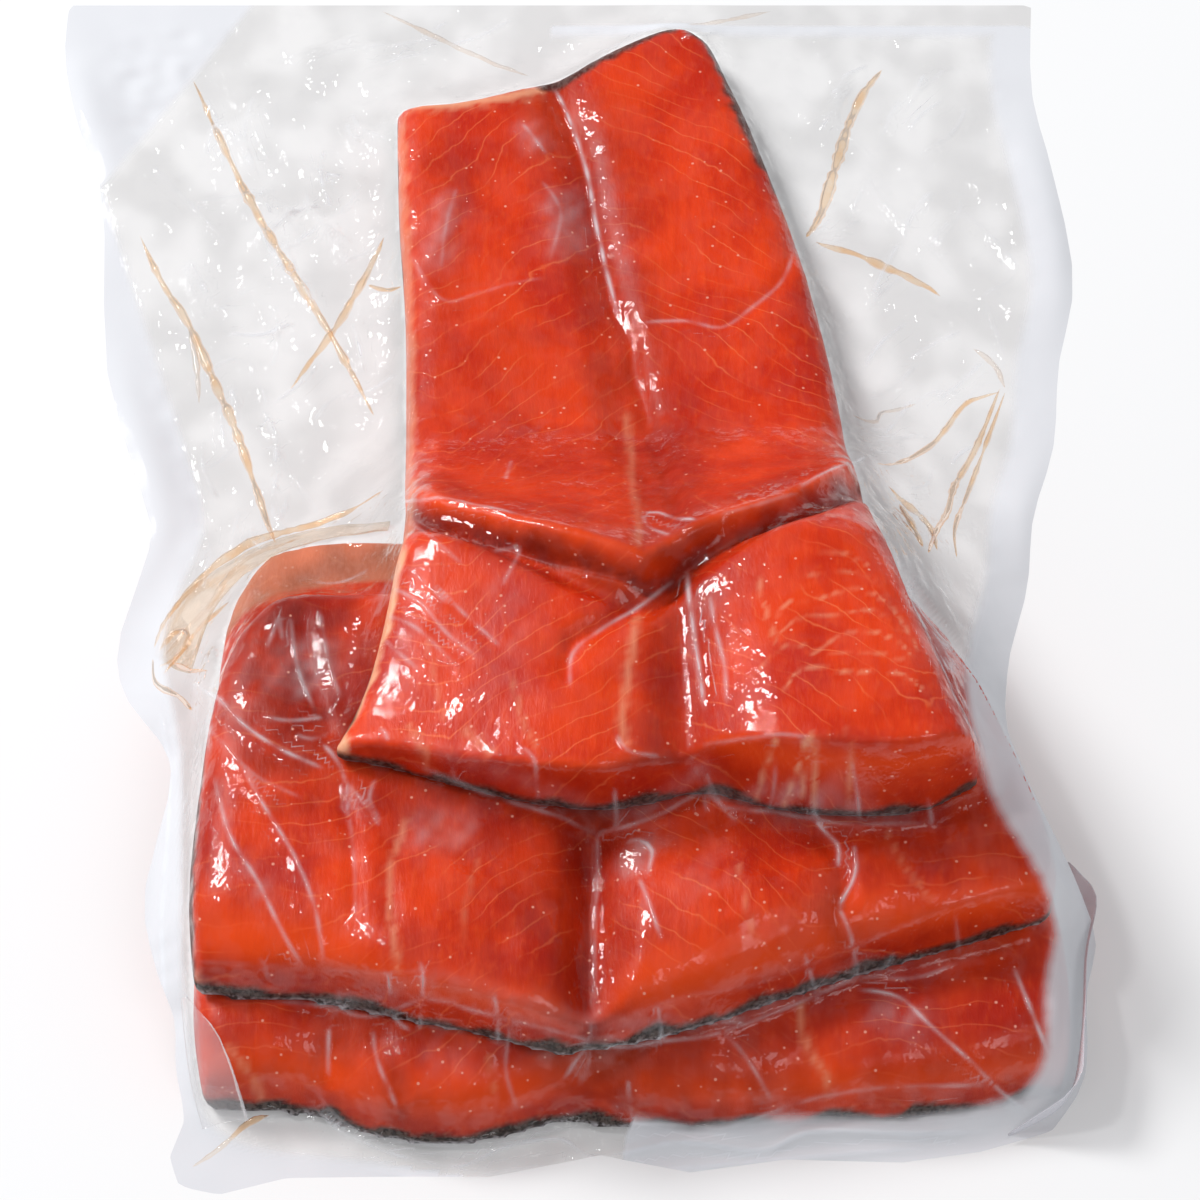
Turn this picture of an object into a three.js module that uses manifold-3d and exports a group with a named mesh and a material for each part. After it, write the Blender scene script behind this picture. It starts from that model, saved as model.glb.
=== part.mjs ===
// A vacuum pack of smoked steelhead: three portions of fillet, shingled with the tail
// portion on top, in a clear pouch that clings to them. Millimetres, +Z up. The origin is
// under the middle of the pack, on the surface it lies on, and the tail points along +Y.
import * as THREE from 'three';
import Module from 'manifold-3d';
import { mergeVertices } from 'three/addons/utils/BufferGeometryUtils.js';

const wasm = await Module();
wasm.setup();

// ---------------------------------------------------------------- driving dimensions
const POUCH_REACH = 142;         // from the middle of the pack to the sealed far end
const POUCH_FAR_LEFT = -104;     // the far end is about 203 wide, an eight-inch pouch
const POUCH_FAR_RIGHT = 99;
const FILM = 0.8;                // the two films pressed together, drawn thicker than real
const GAP = 0.3;                 // clearance between pieces that rest on each other
const CLEAR = 0.45;              // clearance in plan between a portion and the pouch
const LOWER_THICKNESS = 15.4;    // the portion that lies on the pouch
const MIDDLE_THICKNESS = 15.6;   // the portion on top of it
const TAIL_THICKNESS = 22;       // the tail portion at its thick front end
const TAIL_END_THICKNESS = 9;    // and where the tail fin was cut off
const FLANGE_LIFT = 3.2;         // how far the loose edge of the pouch waves off the table
const CREASE_DEPTH = 4.2;        // the fold across the tail portion, where it bends down

const LOWER_FLOOR = FILM + GAP;
const MIDDLE_FLOOR = LOWER_FLOOR + LOWER_THICKNESS + GAP;
const TAIL_SHELF = MIDDLE_FLOOR + MIDDLE_THICKNESS + GAP;

// the step down behind the stack, which the tail portion is draped over
const SHELF_EDGE = -30;          // back edge of the middle portion
const TABLE_EDGE = 20;           // from here on the tail portion lies on the pouch

// ---------------------------------------------------------------- small helpers
const flesh = (color) => new THREE.MeshStandardMaterial({ color, roughness: 0.22, metalness: 0 });

const clamp01 = (value) => Math.min(1, Math.max(0, value));
const smooth = (from, to, value) => {
  const f = clamp01((value - from) / (to - from));
  return f * f * (3 - 2 * f);
};
const bump = (distance, halfWidth) => Math.exp(-((distance / halfWidth) ** 2));
const mix = (a, b, f) => a + (b - a) * f;

// a smooth line through a few points of the plan
function line(...points) {
  return new THREE.SplineCurve(points.map(([x, y]) => new THREE.Vector2(x, y)));
}

// parameters from 0 to 1, packed closer where the shape turns sharply
function stations(count, tightSpots) {
  const samples = 400;
  const density = (t) => tightSpots.reduce((sum, [at, width, gain]) => sum + gain * bump(t - at, width), 1);
  const area = [0];
  for (let i = 1; i <= samples; i += 1) area.push(area[i - 1] + density((i - 0.5) / samples));
  const list = [];
  let i = 0;
  for (let k = 0; k <= count; k += 1) {
    const wanted = (area[samples] * k) / count;
    while (i < samples - 1 && area[i + 1] < wanted) i += 1;
    list.push((i + clamp01((wanted - area[i]) / (area[i + 1] - area[i]))) / samples);
  }
  return list;
}

// a point inside four lines: s runs from the left line to the right, t from the near to the far
function inside({ left, right, near, far }, s, t) {
  const [l, r, n, f] = [left.getPoint(t), right.getPoint(t), near.getPoint(s), far.getPoint(s)];
  const [nl, nr, fl, fr] = [near.getPoint(0), near.getPoint(1), far.getPoint(0), far.getPoint(1)];
  const blend = (axis) => mix(l[axis], r[axis], s) + mix(n[axis], f[axis], t)
    - mix(mix(nl[axis], nr[axis], s), mix(fl[axis], fr[axis], s), t);
  return new THREE.Vector2(blend('x'), blend('y'));
}

// ---------------------------------------------------------------- closed bodies from two skins
// Both skins are rows of points from the near end to the far end. They share no points, and
// strips between their borders close the body. Two rows of a skin may differ in number.
function bodyFromSkins(top, under) {
  const vertices = [];
  const triangles = [];
  const keep = (rows) => rows.map((row) => row.map((p) => vertices.push(p) - 1));
  const [upper, lower] = [keep(top), keep(under)];

  // a strip between two lines of points, which faces up when the first is the nearer one
  const strip = (first, second) => {
    let [i, j] = [0, 0];
    while (i + 1 < first.length || j + 1 < second.length) {
      const onFirst = i + 1 < first.length && (j + 1 >= second.length
        || (i + 1) / (first.length - 1) <= (j + 1) / (second.length - 1));
      triangles.push([first[i], onFirst ? first[i + 1] : second[j + 1], second[j]]);
      if (onFirst) i += 1;
      else j += 1;
    }
  };
  const side = (rows, end) => rows.map((row) => row.at(end));
  for (let j = 0; j + 1 < upper.length; j += 1) {
    strip(upper[j], upper[j + 1]);
    strip(lower[j + 1], lower[j]);
  }
  strip(lower[0], upper[0]);
  strip(upper.at(-1), lower.at(-1));
  strip(side(upper, 0), side(lower, 0));
  strip(side(lower, -1), side(upper, -1));

  const geometry = new THREE.BufferGeometry();
  geometry.setAttribute('position', new THREE.Float32BufferAttribute(vertices.flat(), 3));
  geometry.setIndex(triangles.flat());
  geometry.computeVertexNormals();
  return geometry;
}

function toManifold(geometry) {
  const bare = geometry.clone();
  bare.deleteAttribute('normal');
  bare.deleteAttribute('uv');
  const merged = mergeVertices(bare, 1e-4);
  return new wasm.Manifold(new wasm.Mesh({
    numProp: 3,
    vertProperties: Float32Array.from(merged.attributes.position.array),
    triVerts: Uint32Array.from(merged.index.array),
  }));
}

function fromManifold(solid) {
  const mesh = solid.getMesh();
  const geometry = new THREE.BufferGeometry();
  geometry.setAttribute('position', new THREE.BufferAttribute(mesh.vertProperties, 3));
  geometry.setIndex(new THREE.BufferAttribute(mesh.triVerts, 1));
  geometry.computeVertexNormals();
  return geometry;
}

function named(name, geometry, material) {
  const mesh = new THREE.Mesh(geometry, material);
  mesh.name = name;
  return mesh;
}

// ---------------------------------------------------------------- a portion of fillet
// How deep the creases are at a point. Each crosses the cut face at x, leans by slant for each
// millimetre along y, and fades between the lines y = from and y = to, down to a share of its
// depth that it keeps.
function creased(creases, x, y) {
  return creases.reduce((sum, { x: at, slant = 0, width, depth, from, to, keeps = 0 }) => (
    sum + depth * bump(x - at - slant * (y - from), width) * mix(1, keeps, smooth(from, to, y))), 0);
}

// thickness(x, y, s, t) is the height of the flesh over its floor(x, y). Within shoulder of a
// side edge it falls away as a quarter round, down to edge of its full height. The near end is
// the cut face, faceHeight(x) high: from its lip the top rises to full height over lipRound.
// The lip stands back from the foot of the face by lipBack.
function portion(shape) {
  const { plan, across, along, floor, thickness, faceHeight } = shape;
  const { shoulder, edge, lipBack, lipRound, endRound } = shape;
  const bow = shape.bow ?? ((s, t) => t);
  const lengthAt = plan.left.getLength();
  const quarterRound = (distance, reach) => Math.sqrt(1 - (1 - clamp01(distance / reach)) ** 2);
  const top = along.map((row) => across.map((s) => {
    const t = bow(s, row);
    const p = inside(plan, s, t);
    const widthHere = plan.left.getPoint(t).distanceTo(plan.right.getPoint(t));
    const fromSide = Math.min(s, 1 - s) * widthHere;
    const side = s < 0.5 ? edge.left : edge.right;
    const acrossShape = mix(side, 1, quarterRound(fromSide, s < 0.5 ? shoulder.left : shoulder.right));
    const fromNear = t * lengthAt;
    const fromFar = (1 - t) * lengthAt;
    const full = thickness(p.x, p.y, s, t) * mix(0.6, 1, quarterRound(fromFar, endRound));
    const height = mix(Math.min(faceHeight(p.x), full), full, quarterRound(fromNear, lipRound));
    const standBack = lipBack(s) * (1 - smooth(0, 0.3, t)) * smooth(0, 0.06, Math.min(s, 1 - s));
    const y = p.y + standBack;
    return [p.x, y, floor(p.x, y) + height * acrossShape];
  }));
  const few = [0, 0.12, 0.3, 0.5, 0.7, 0.88, 1];
  const under = along.map((t) => (t === 0 || t === 1 ? across : few).map((s) => {
    const p = inside(plan, s, t);
    return [p.x, p.y, floor(p.x, p.y)];
  }));
  return bodyFromSkins(top, under);
}

// the outline of a portion, grown a little, as a closed loop of the plan
function outline({ plan, across, along }, growAt) {
  const walk = (curve, places) => places.slice(0, -1).map((place) => curve.getPoint(place));
  const back = (places) => [...places].reverse();
  const loop = [...walk(plan.near, across), ...walk(plan.right, along),
    ...walk(plan.far, back(across)), ...walk(plan.left, back(along))];
  return loop.map((p, i) => {
    const before = loop[(i + loop.length - 1) % loop.length];
    const after = loop[(i + 1) % loop.length];
    const heading = after.clone().sub(before).normalize();
    const grow = growAt(p);
    return new THREE.Vector2(p.x + heading.y * grow, p.y - heading.x * grow);
  });
}

// ---------------------------------------------------------------- the lower portion
const lowerPlan = {
  near: line([-64, -125], [-56, -126.5], [-46, -126], [-38, -129.5], [-26, -132.5], [-12, -132],
    [1, -128], [7, -129], [26, -130.5], [50, -129], [76, -126.5], [92, -122]),
  left: line([-64, -125], [-66.5, -108], [-66, -80], [-65, -40], [-63, -22], [-56, -10]),
  right: line([92, -122], [94, -112], [93.5, -92], [89, -70], [82.5, -46], [75, -28], [63, -14]),
  far: line([-56, -10], [-44, -6.5], [-20, -6], [15, -5], [43, -7], [63, -14]),
};
const lower = {
  plan: lowerPlan,
  across: stations(28, [[0, 0.05, 2], [1, 0.05, 2], [0.44, 0.06, 1]]),
  along: stations(18, [[0, 0.12, 3.5], [1, 0.06, 1]]),
};
const LOWER_CREASES = [
  { x: 6, width: 7, depth: 5.5, from: -128, to: -104 },
  { x: -41, width: 5, depth: 3.5, from: -128, to: -112 },
];
function makeLower() {
  return portion({
    ...lower,
    floor: () => LOWER_FLOOR,
    faceHeight: (x) => 4 + 1.5 * bump(x + 20, 20),
    thickness: (x, y) => LOWER_THICKNESS - creased(LOWER_CREASES, x, y),
    shoulder: { left: 11, right: 10 },
    edge: { left: 0.4, right: 0.4 },
    lipBack: () => 1.5,
    lipRound: 21,
    endRound: 8,
  });
}

// ---------------------------------------------------------------- the middle portion
const middlePlan = {
  near: line([-65.5, -110], [-55, -112], [-42, -112], [-30, -115.5], [-14, -119], [0, -123], [5, -122.5],
    [14, -121], [28, -117], [43, -111], [60, -105], [76, -100], [90, -95]),
  left: line([-65.5, -110], [-67, -92], [-66, -70], [-64, -50], [-60, -38], [-54, -31]),
  right: line([90, -95], [91.5, -87], [89.5, -76], [84, -60], [78, -46], [68, -33]),
  far: line([-54, -31], [-40, -29.5], [-10, -29], [25, -29], [50, -29.5], [68, -33]),
};
const middle = {
  plan: middlePlan,
  across: stations(28, [[0, 0.05, 2], [1, 0.05, 2], [0.44, 0.07, 2.2]]),
  along: stations(18, [[0, 0.1, 3], [1, 0.06, 1]]),
};
const MIDDLE_CREASES = [
  { x: 6.5, width: 5, depth: 7, from: -98, to: -66, keeps: 0.3 },
  { x: 51, width: 2.8, depth: 1.8, from: -104, to: -86 },
];
function makeMiddle() {
  // the two lobes beside the groove swell where the tail portion doesn't press on them
  const pressed = 1;
  const swollen = 3.2;
  const open = (x, y) => Math.max(smooth(-86, -98, y), smooth(-40, -56, x));
  const lobes = (x, y) => (bump(x - 42, 30) + bump(x + 30, 24)) * mix(pressed, swollen, open(x, y));
  return portion({
    ...middle,
    floor: () => MIDDLE_FLOOR,
    faceHeight: (x) => 5 + 8 * bump(x + 14, 19) + 8 * smooth(58, 76, x) - 1.5 * bump(x + 62, 10),
    thickness: (x, y) => MIDDLE_THICKNESS - 1.4 + lobes(x, y) - creased(MIDDLE_CREASES, x, y),
    shoulder: { left: 12, right: 11 },
    edge: { left: 0.42, right: 0.45 },
    lipBack: () => 1.5,
    lipRound: 22,
    endRound: 9,
  });
}

// ---------------------------------------------------------------- the tail portion
const tailPlan = {
  near: line([-41, -70], [-29, -73], [-18, -76.5], [-5, -80], [8, -81.5], [18, -80], [27, -77.5],
    [38, -81], [52, -83], [66, -82], [77, -76]),
  left: line([-41, -70], [-35, -56], [-31, -36], [-29, -15], [-30, 8], [-31, 51], [-33, 80], [-34, 108.5]),
  right: line([77, -76], [71, -58], [65, -39], [60, -16], [57.5, 10], [54.5, 38], [48.5, 70], [39.5, 102],
    [31, 126]),
  far: line([-34, 108.5], [-24, 109], [-13, 111], [0, 117], [13, 124.5], [24, 129.5], [31, 126]),
};
const FOLD_ROW = 0.32;          // the row of the skin that follows the fold
const tail = {
  plan: tailPlan,
  across: stations(26, [[0, 0.05, 1.6], [1, 0.05, 1.6], [0.42, 0.08, 1.2]]),
  along: stations(44, [[0, 0.02, 3], [FOLD_ROW, 0.05, 3], [1, 0.02, 1.5]]),
};
// the floor under the tail portion: on the stack, down its step, then on the pouch
const STEP_SOFTNESS = 0.024;    // rounds the top and the foot of the step
function tailFloor(x, y) {
  const down = clamp01((y - SHELF_EDGE) / (TABLE_EDGE - SHELF_EDGE));
  const soft = STEP_SOFTNESS * Math.sin(2 * Math.PI * down);
  return mix(TAIL_SHELF, LOWER_FLOOR, clamp01(down - soft));
}
// The fold where the portion bends down is a V that points to the near end: the share of the
// length at which it lies, for a share of the width.
const FOLD = { left: 0.39, point: 0.25, right: 0.425, pointAcross: 0.5 };
function foldAt(s) {
  const { left, point, right, pointAcross } = FOLD;
  if (s < pointAcross) return mix(left, point, (s / pointAcross) ** 1.5);
  return mix(point, right, (s - pointAcross) / (1 - pointAcross));
}
// the rows of the skin bow towards the fold, so that one of them runs along it
function bowToFold(s, t) {
  return t + (foldAt(s) - FOLD_ROW) * bump(t - FOLD_ROW, 0.16) * smooth(0, 0.1, t);
}
function makeTail() {
  const tailLength = tailPlan.left.getLength();
  // the shallow groove along the flank leans to the left towards the tail
  const grooveX = (y) => 16 - 0.145 * Math.max(y, -50);
  const groove = (x, y, t) => 3.4 * bump(x - grooveX(y), 4.5) * (1 - 0.55 * t);
  // the film has drawn the front of the thin belly down, on the left
  const frontShare = (x) => mix(0.26, 0.62, smooth(-46, 6, x)) + 0.38 * smooth(20, 44, x);
  // a swelling stands behind the fold
  const fold = (fromFold) => CREASE_DEPTH * bump(fromFold, 3) - 3 * bump(fromFold - 11, 9);
  const diagonal = (x, y) => 1.8 * bump(x - 9 - 0.95 * (y + 50), 4) * bump(y + 50, 12);
  const thickness = (x, y, s, t) => {
    const body = mix(TAIL_THICKNESS, TAIL_END_THICKNESS, smooth(-0.05, 0.95, t));
    const share = mix(frontShare(x), 1, smooth(0, 0.6, t));
    return body * share - groove(x, y, t) - fold((t - foldAt(s)) * tailLength) - diagonal(x, y);
  };
  return portion({
    ...tail,
    bow: bowToFold,
    faceHeight: (x) => 6 + 8 * smooth(-40, -12, x) - 5 * bump(x - 20, 10) + 10 * smooth(22, 42, x),
    floor: tailFloor,
    thickness,
    shoulder: { left: 9, right: 12 },
    edge: { left: 0.42, right: 0.36 },
    lipBack: (s) => 1.5 + 2 * bump(s - 0.78, 0.16),
    lipRound: 9,
    endRound: 4,
  });
}

// ---------------------------------------------------------------- the pouch
const pouchPlan = {
  near: line([-68, -140], [-60, -142], [-48, -138.5], [-37, -138], [-21, -139.5], [-7, -137.5],
    [8, -134], [20, -137.5], [32, -136.5], [46, -134.5], [62, -135.5], [76, -133.5], [90, -129]),
  left: line([-68, -140], [-70, -133], [-67.5, -127], [-69.5, -116], [-70, -106], [-74, -95],
    [-77, -79], [-73, -56], [-75, -46], [-83, -34], [-85, -21], [-80, 2], [-82, 13], [-91, 46],
    [-94, 89], [-100, 108], [-104, 127], [POUCH_FAR_LEFT, POUCH_REACH]),
  right: line([90, -129], [96.5, -118], [97.5, -101], [100, -88], [95, -75], [88, -61], [84, -47],
    [86, -28], [91, -9], [93, 8], [98, 26], [100, 46], [104, 68], [101, 97], [98, 118],
    [POUCH_FAR_RIGHT, POUCH_REACH]),
  far: line([POUCH_FAR_LEFT, POUCH_REACH], [0, POUCH_REACH], [POUCH_FAR_RIGHT, POUCH_REACH]),
};

// how far the loose edge waves off the table, nought near the portions and at the far seal
const SHEET_MARGIN = 0.12;       // share of the width, at each side, that is loose
function flangeLift(x, y, s, t) {
  const loose = Math.max(smooth(SHEET_MARGIN, 0, s), smooth(1 - SHEET_MARGIN, 1, s));
  const waves = 0.5 + 0.5 * Math.sin(y / 13.5 + (s < 0.5 ? 0 : 1.9));
  return FLANGE_LIFT * waves * loose * smooth(0.38, 0.55, t) * (1 - smooth(0.9, 1, t));
}
function makeSheet() {
  const across = stations(12, [[0, 0.08, 2.5], [1, 0.08, 2.5]]);
  const along = stations(42, []);
  const skin = (height) => along.map((t) => across.map((s) => {
    const p = inside(pouchPlan, s, t);
    return [p.x, p.y, flangeLift(p.x, p.y, s, t) + height];
  }));
  return bodyFromSkins(skin(FILM), skin(0));
}

// The film runs down from the edge of each portion to the table in a short hollow slope:
// a ring that starts a little inside the portion's outline and thins out to nothing.
const pouchEdge = outline({ plan: pouchPlan, across: stations(40, []), along: stations(60, []) }, () => 0);
const roomBeside = (p) => Math.min(...pouchEdge.map((q) => q.distanceTo(p)));
const SKIRTS = [
  { piece: lower, top: () => 9, reach: (p) => Math.min(7.5, 0.8 * roomBeside(p)) },
  { piece: middle, top: () => 24, reach: (p) => Math.min(9.5, 0.8 * roomBeside(p)) },
  { piece: tail, top: (p) => tailFloor(p.x, p.y) + 4, reach: (p) => 5 + 0.22 * tailFloor(p.x, p.y) },
];
const SLOPE_STEPS = [[-0.1, 1], [0.05, 0.96], [0.3, 0.45], [0.62, 0.14], [1, 0]];
function makeSkirt({ piece, top, reach }) {
  const foot = 0.5 * FILM;
  const loops = SLOPE_STEPS.map(([out]) => outline(piece, (p) => out * reach(p)));
  const onEdge = outline(piece, () => 0);
  const rings = loops.map((loop, k) => loop.map((p, i) => (
    [p.x, p.y, foot + 0.1 + (top(onEdge[i]) - foot) * SLOPE_STEPS[k][1]])));
  const feet = [loops.at(-1), loops[0]].map((loop) => loop.map((p) => [p.x, p.y, foot]));
  const section = [...rings, ...feet];
  const count = onEdge.length;
  const positions = section.flat(2);
  const triangles = section.flatMap((_, k) => onEdge.flatMap((__, i) => {
    const [here, next] = [k * count, ((k + 1) % section.length) * count];
    const after = (i + 1) % count;
    return [here + i, next + i, next + after, here + i, next + after, here + after];
  }));
  const geometry = new THREE.BufferGeometry();
  geometry.setAttribute('position', new THREE.Float32BufferAttribute(positions, 3));
  geometry.setIndex(triangles);
  return geometry;
}

// wrinkles that hold a little juice stand up from the flat film beside the tail
const WRINKLES = [
  [[-77, 121], [-64, 89], [-48, 57]],
  [[-36, 77], [-45, 56], [-54, 40]],
  [[-86, 79], [-75, 56], [-64, 27], [-55, -3]],
  [[72, 137], [60, 102], [54, 76]],
  [[57, 74], [69, 69], [77, 64]],
  [[88, 47], [80, 36], [64, 12]],
  [[88, 42], [80, 16], [74, -10]],
];
const WRINKLE_WIDTH = 2.6;
const WRINKLE_HEIGHT = 1.3;
function wrinkle(points) {
  const route = line(...points);
  const steps = 3 * (points.length - 1) + 2;
  const rows = Array.from({ length: steps + 1 }, (_, i) => {
    const p = route.getPoint(i / steps);
    const along = route.getTangent(i / steps);
    const taper = Math.sin(Math.PI * mix(0.12, 0.88, i / steps));
    const half = 0.5 * WRINKLE_WIDTH * taper;
    const foot = 0.5 * FILM;
    return [
      [p.x - along.y * half, p.y + along.x * half, foot],
      [p.x, p.y, FILM + WRINKLE_HEIGHT * taper],
      [p.x + along.y * half, p.y - along.x * half, foot],
    ];
  });
  const under = rows.map((row) => [row[0], row[2]].map((p) => [...p]));
  return bodyFromSkins(rows, under);
}

function makePouch() {
  let pouch = toManifold(makeSheet());
  for (const points of WRINKLES) pouch = pouch.add(toManifold(wrinkle(points)));
  for (const skirt of SKIRTS) pouch = pouch.add(toManifold(makeSkirt(skirt)));
  for (const { piece } of SKIRTS) {
    const column = new THREE.ExtrudeGeometry(new THREE.Shape(outline(piece, () => CLEAR)), {
      depth: 90,
      bevelEnabled: false,
    });
    column.translate(0, 0, FILM);
    pouch = pouch.subtract(toManifold(column));
  }
  return fromManifold(pouch);
}

// ---------------------------------------------------------------- the pack
const pack = new THREE.Group();
pack.add(
  named('fillet_lower', makeLower(), flesh(0xa8321c)),
  named('fillet_middle', makeMiddle(), flesh(0xb8381c)),
  named('fillet_tail', makeTail(), flesh(0xc9401f)),
  named('pouch', makePouch(), new THREE.MeshStandardMaterial({
    color: 0xe6e8f0,
    roughness: 0.12,
    metalness: 0,
  })),
);

export default pack;
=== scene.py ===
# %% [markdown]
# # A vacuum pack of smoked steelhead
# Three portions of smoked fillet lie shingled in a clear pouch: a lower one, a middle one, and the
# thin tail portion draped over both. The air is drawn out, so the film clings to the fish, stands
# up in thin folds beside it, and ends in a loose wavy edge. This script starts from the measured
# frame of the pack and gives it its looks. Lengths in it are millimetres until they reach a mesh.

import math

import bpy
import numpy as np
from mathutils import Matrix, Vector
from mathutils.bvhtree import BVHTree


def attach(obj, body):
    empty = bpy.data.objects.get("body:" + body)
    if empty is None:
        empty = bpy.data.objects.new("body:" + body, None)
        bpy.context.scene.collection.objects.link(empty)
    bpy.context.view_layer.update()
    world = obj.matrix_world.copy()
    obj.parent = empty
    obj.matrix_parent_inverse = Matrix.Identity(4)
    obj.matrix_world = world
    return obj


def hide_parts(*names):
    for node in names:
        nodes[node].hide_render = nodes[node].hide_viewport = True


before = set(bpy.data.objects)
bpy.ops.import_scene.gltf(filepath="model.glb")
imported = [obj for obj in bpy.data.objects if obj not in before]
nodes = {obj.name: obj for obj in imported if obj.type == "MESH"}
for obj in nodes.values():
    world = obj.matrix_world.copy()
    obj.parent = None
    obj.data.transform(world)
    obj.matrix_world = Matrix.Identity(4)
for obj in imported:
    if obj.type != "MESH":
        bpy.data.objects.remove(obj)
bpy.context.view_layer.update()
print("frame pieces:", ", ".join(sorted(nodes)))

MM = 0.001                       # a millimetre, in metres


# %% [markdown]
# ## Small helpers
# Most pieces here are soft, so they are a fine mesh whose points are pushed about. Reading all the
# points of a mesh into one array, changing the array and writing it back is far quicker in Blender
# than moving points one by one.

# %% Helpers for objects and meshes
def only(thing):
    """Selects one object and nothing else, and makes it the active one."""
    bpy.ops.object.select_all(action="DESELECT")
    thing.select_set(True)
    bpy.context.view_layer.objects.active = thing


def points_of(thing):
    """The points of a mesh, in millimetres."""
    flat = np.empty(3 * len(thing.data.vertices), dtype=np.float32)
    thing.data.vertices.foreach_get("co", flat)
    return flat.reshape(-1, 3).astype(float) / MM


def move_points(thing, points):
    """Writes the points of a mesh, given in millimetres."""
    thing.data.vertices.foreach_set("co", (points * MM).astype(np.float32).ravel())
    thing.data.update()


def normals_of(thing):
    """The direction that each point of a mesh faces."""
    flat = np.empty(3 * len(thing.data.vertices), dtype=np.float32)
    thing.data.vertex_normals.foreach_get("vector", flat)
    return flat.reshape(-1, 3).astype(float)


def paint(thing, name, values):
    """Stores a number for each point, which a material can read."""
    layer = thing.data.attributes.new(name, "FLOAT", "POINT")
    layer.data.foreach_set("value", np.asarray(values, dtype=np.float32))


def modify(thing, kind, **settings):
    """Adds a modifier and applies it."""
    only(thing)
    modifier = thing.modifiers.new(kind.title(), kind)
    for key, value in settings.items():
        setattr(modifier, key, value)
    bpy.ops.object.modifier_apply(modifier=modifier.name)


def tree_of(thing):
    """A search tree that rays can be cast at."""
    return BVHTree.FromPolygons(
        [v.co for v in thing.data.vertices], [p.vertices for p in thing.data.polygons])


print("in the frame the tail portion has", len(nodes["fillet_tail"].data.vertices), "points")


# %% [markdown]
# Creases, folds and painted lines are all drawn in the same way: a curve through a few places on the
# plan, and an amount that falls off with the distance from it. A brush in sculpt mode would do the
# same by hand, but a line written down can be moved, and film and flesh can share it.

# %% Helpers for numbers and lines
def clamp(value, low=0.0, high=1.0):
    return np.minimum(np.maximum(value, low), high)


def ramp(start, end, value):
    """0 before start, 1 after end, and smooth in between."""
    f = clamp((value - start) / (end - start))
    return f * f * (3 - 2 * f)


def bump(distance, width):
    """1 on a line, falling off smoothly to about a third at its half width."""
    return np.exp(-((distance / width) ** 2))


def wobble(x, y, length, seed, waves=9):
    """A smooth random field of the plan, about -1 to 1, whose swells are about length apart."""
    draw = np.random.default_rng(seed)
    total = np.zeros_like(x, dtype=float)
    for _ in range(waves):
        turn = draw.uniform(0, math.tau)
        size = length * draw.uniform(0.7, 1.6)
        phase = draw.uniform(0, math.tau)
        total += np.sin(math.tau * (x * math.cos(turn) + y * math.sin(turn)) / size + phase)
    return total / math.sqrt(waves / 2) * 0.5


def smooth_line(corners, step=1.5):
    """A curve through a few corners, as a row of points about step apart."""
    p = np.array(corners, dtype=float)
    if len(p) == 2:
        p = np.array([p[0], p.mean(0), p[1]])
    p = np.vstack([2 * p[0] - p[1], p, 2 * p[-1] - p[-2]])
    parts = []
    for a, b, c, d in zip(p, p[1:], p[2:], p[3:]):
        count = max(2, int(np.linalg.norm(c - b) / step))
        t = np.linspace(0, 1, count, endpoint=False)[:, None]
        parts.append(0.5 * (2 * b + (c - a) * t + (2 * a - 5 * b + 4 * c - d) * t**2
                            + (3 * b - a - 3 * c + d) * t**3))
    return np.vstack(parts + [p[-2][None]])


def beside(points, corners, reach):
    """The points of the plan that lie within reach of a line: their numbers, their distances to
    it (negative on its right) and how far along it they are, from 0 to 1."""
    route = smooth_line(corners)
    close = ((points > route.min(0) - reach) & (points < route.max(0) + reach)).all(1)
    number = np.flatnonzero(close)
    p = points[number]
    start, leg = route[:-1], np.diff(route, axis=0)
    best = np.full(len(p), np.inf)
    distance = np.zeros(len(p))
    along = np.zeros(len(p))
    for k, (a, d) in enumerate(zip(start, leg)):
        share = clamp(((p - a) @ d) / (d @ d))
        gap = p - a - share[:, None] * d
        square = (gap**2).sum(1)
        nearer = square < best
        best[nearer] = square[nearer]
        side = np.sign(d[0] * gap[nearer, 1] - d[1] * gap[nearer, 0])
        distance[nearer] = side * np.sqrt(square[nearer])
        along[nearer] = (k + share[nearer]) / len(leg)
    near = best < reach * reach
    return number[near], distance[near], along[near]


def taper(along, sharp=0.12):
    """Fades both ends of a line."""
    return ramp(0, sharp, along) * ramp(0, sharp, 1 - along)


print("a bump of half width 2 is", round(float(bump(1.0, 2.0)), 2), "high 1 mm from its line")


# %% [markdown]
# ## The three portions of fish
# A portion starts as a copy of its frame piece. The copy is merged, because its triangles are
# loose, then remeshed into even quads about a millimetre across and smoothed. That gives soft
# flesh enough points for the creases that the film presses into it.

# %% Copy the portions and mesh them finely
def copy_of(name, new_name, voxel):
    """A frame piece's copy, in even quads about voxel millimetres across."""
    only(nodes[name])
    bpy.ops.object.duplicate()
    copy = bpy.context.object
    copy.name = new_name
    bpy.ops.object.mode_set(mode="EDIT")
    bpy.ops.mesh.select_all(action="SELECT")
    bpy.ops.mesh.remove_doubles(threshold=0.01 * MM)
    bpy.ops.object.mode_set(mode="OBJECT")
    copy.data.materials.clear()
    modify(copy, "REMESH", mode="VOXEL", voxel_size=voxel * MM)
    modify(copy, "SMOOTH", factor=0.5, iterations=5)
    bpy.ops.object.shade_smooth()
    return copy


lower = copy_of("fillet_lower", "lower_portion", 1.15)
middle = copy_of("fillet_middle", "middle_portion", 1.05)
tail = copy_of("fillet_tail", "tail_portion", 1.05)
portions = [lower, middle, tail]
for portion in portions:
    print(portion.name, len(portion.data.polygons), "quads")

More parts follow.
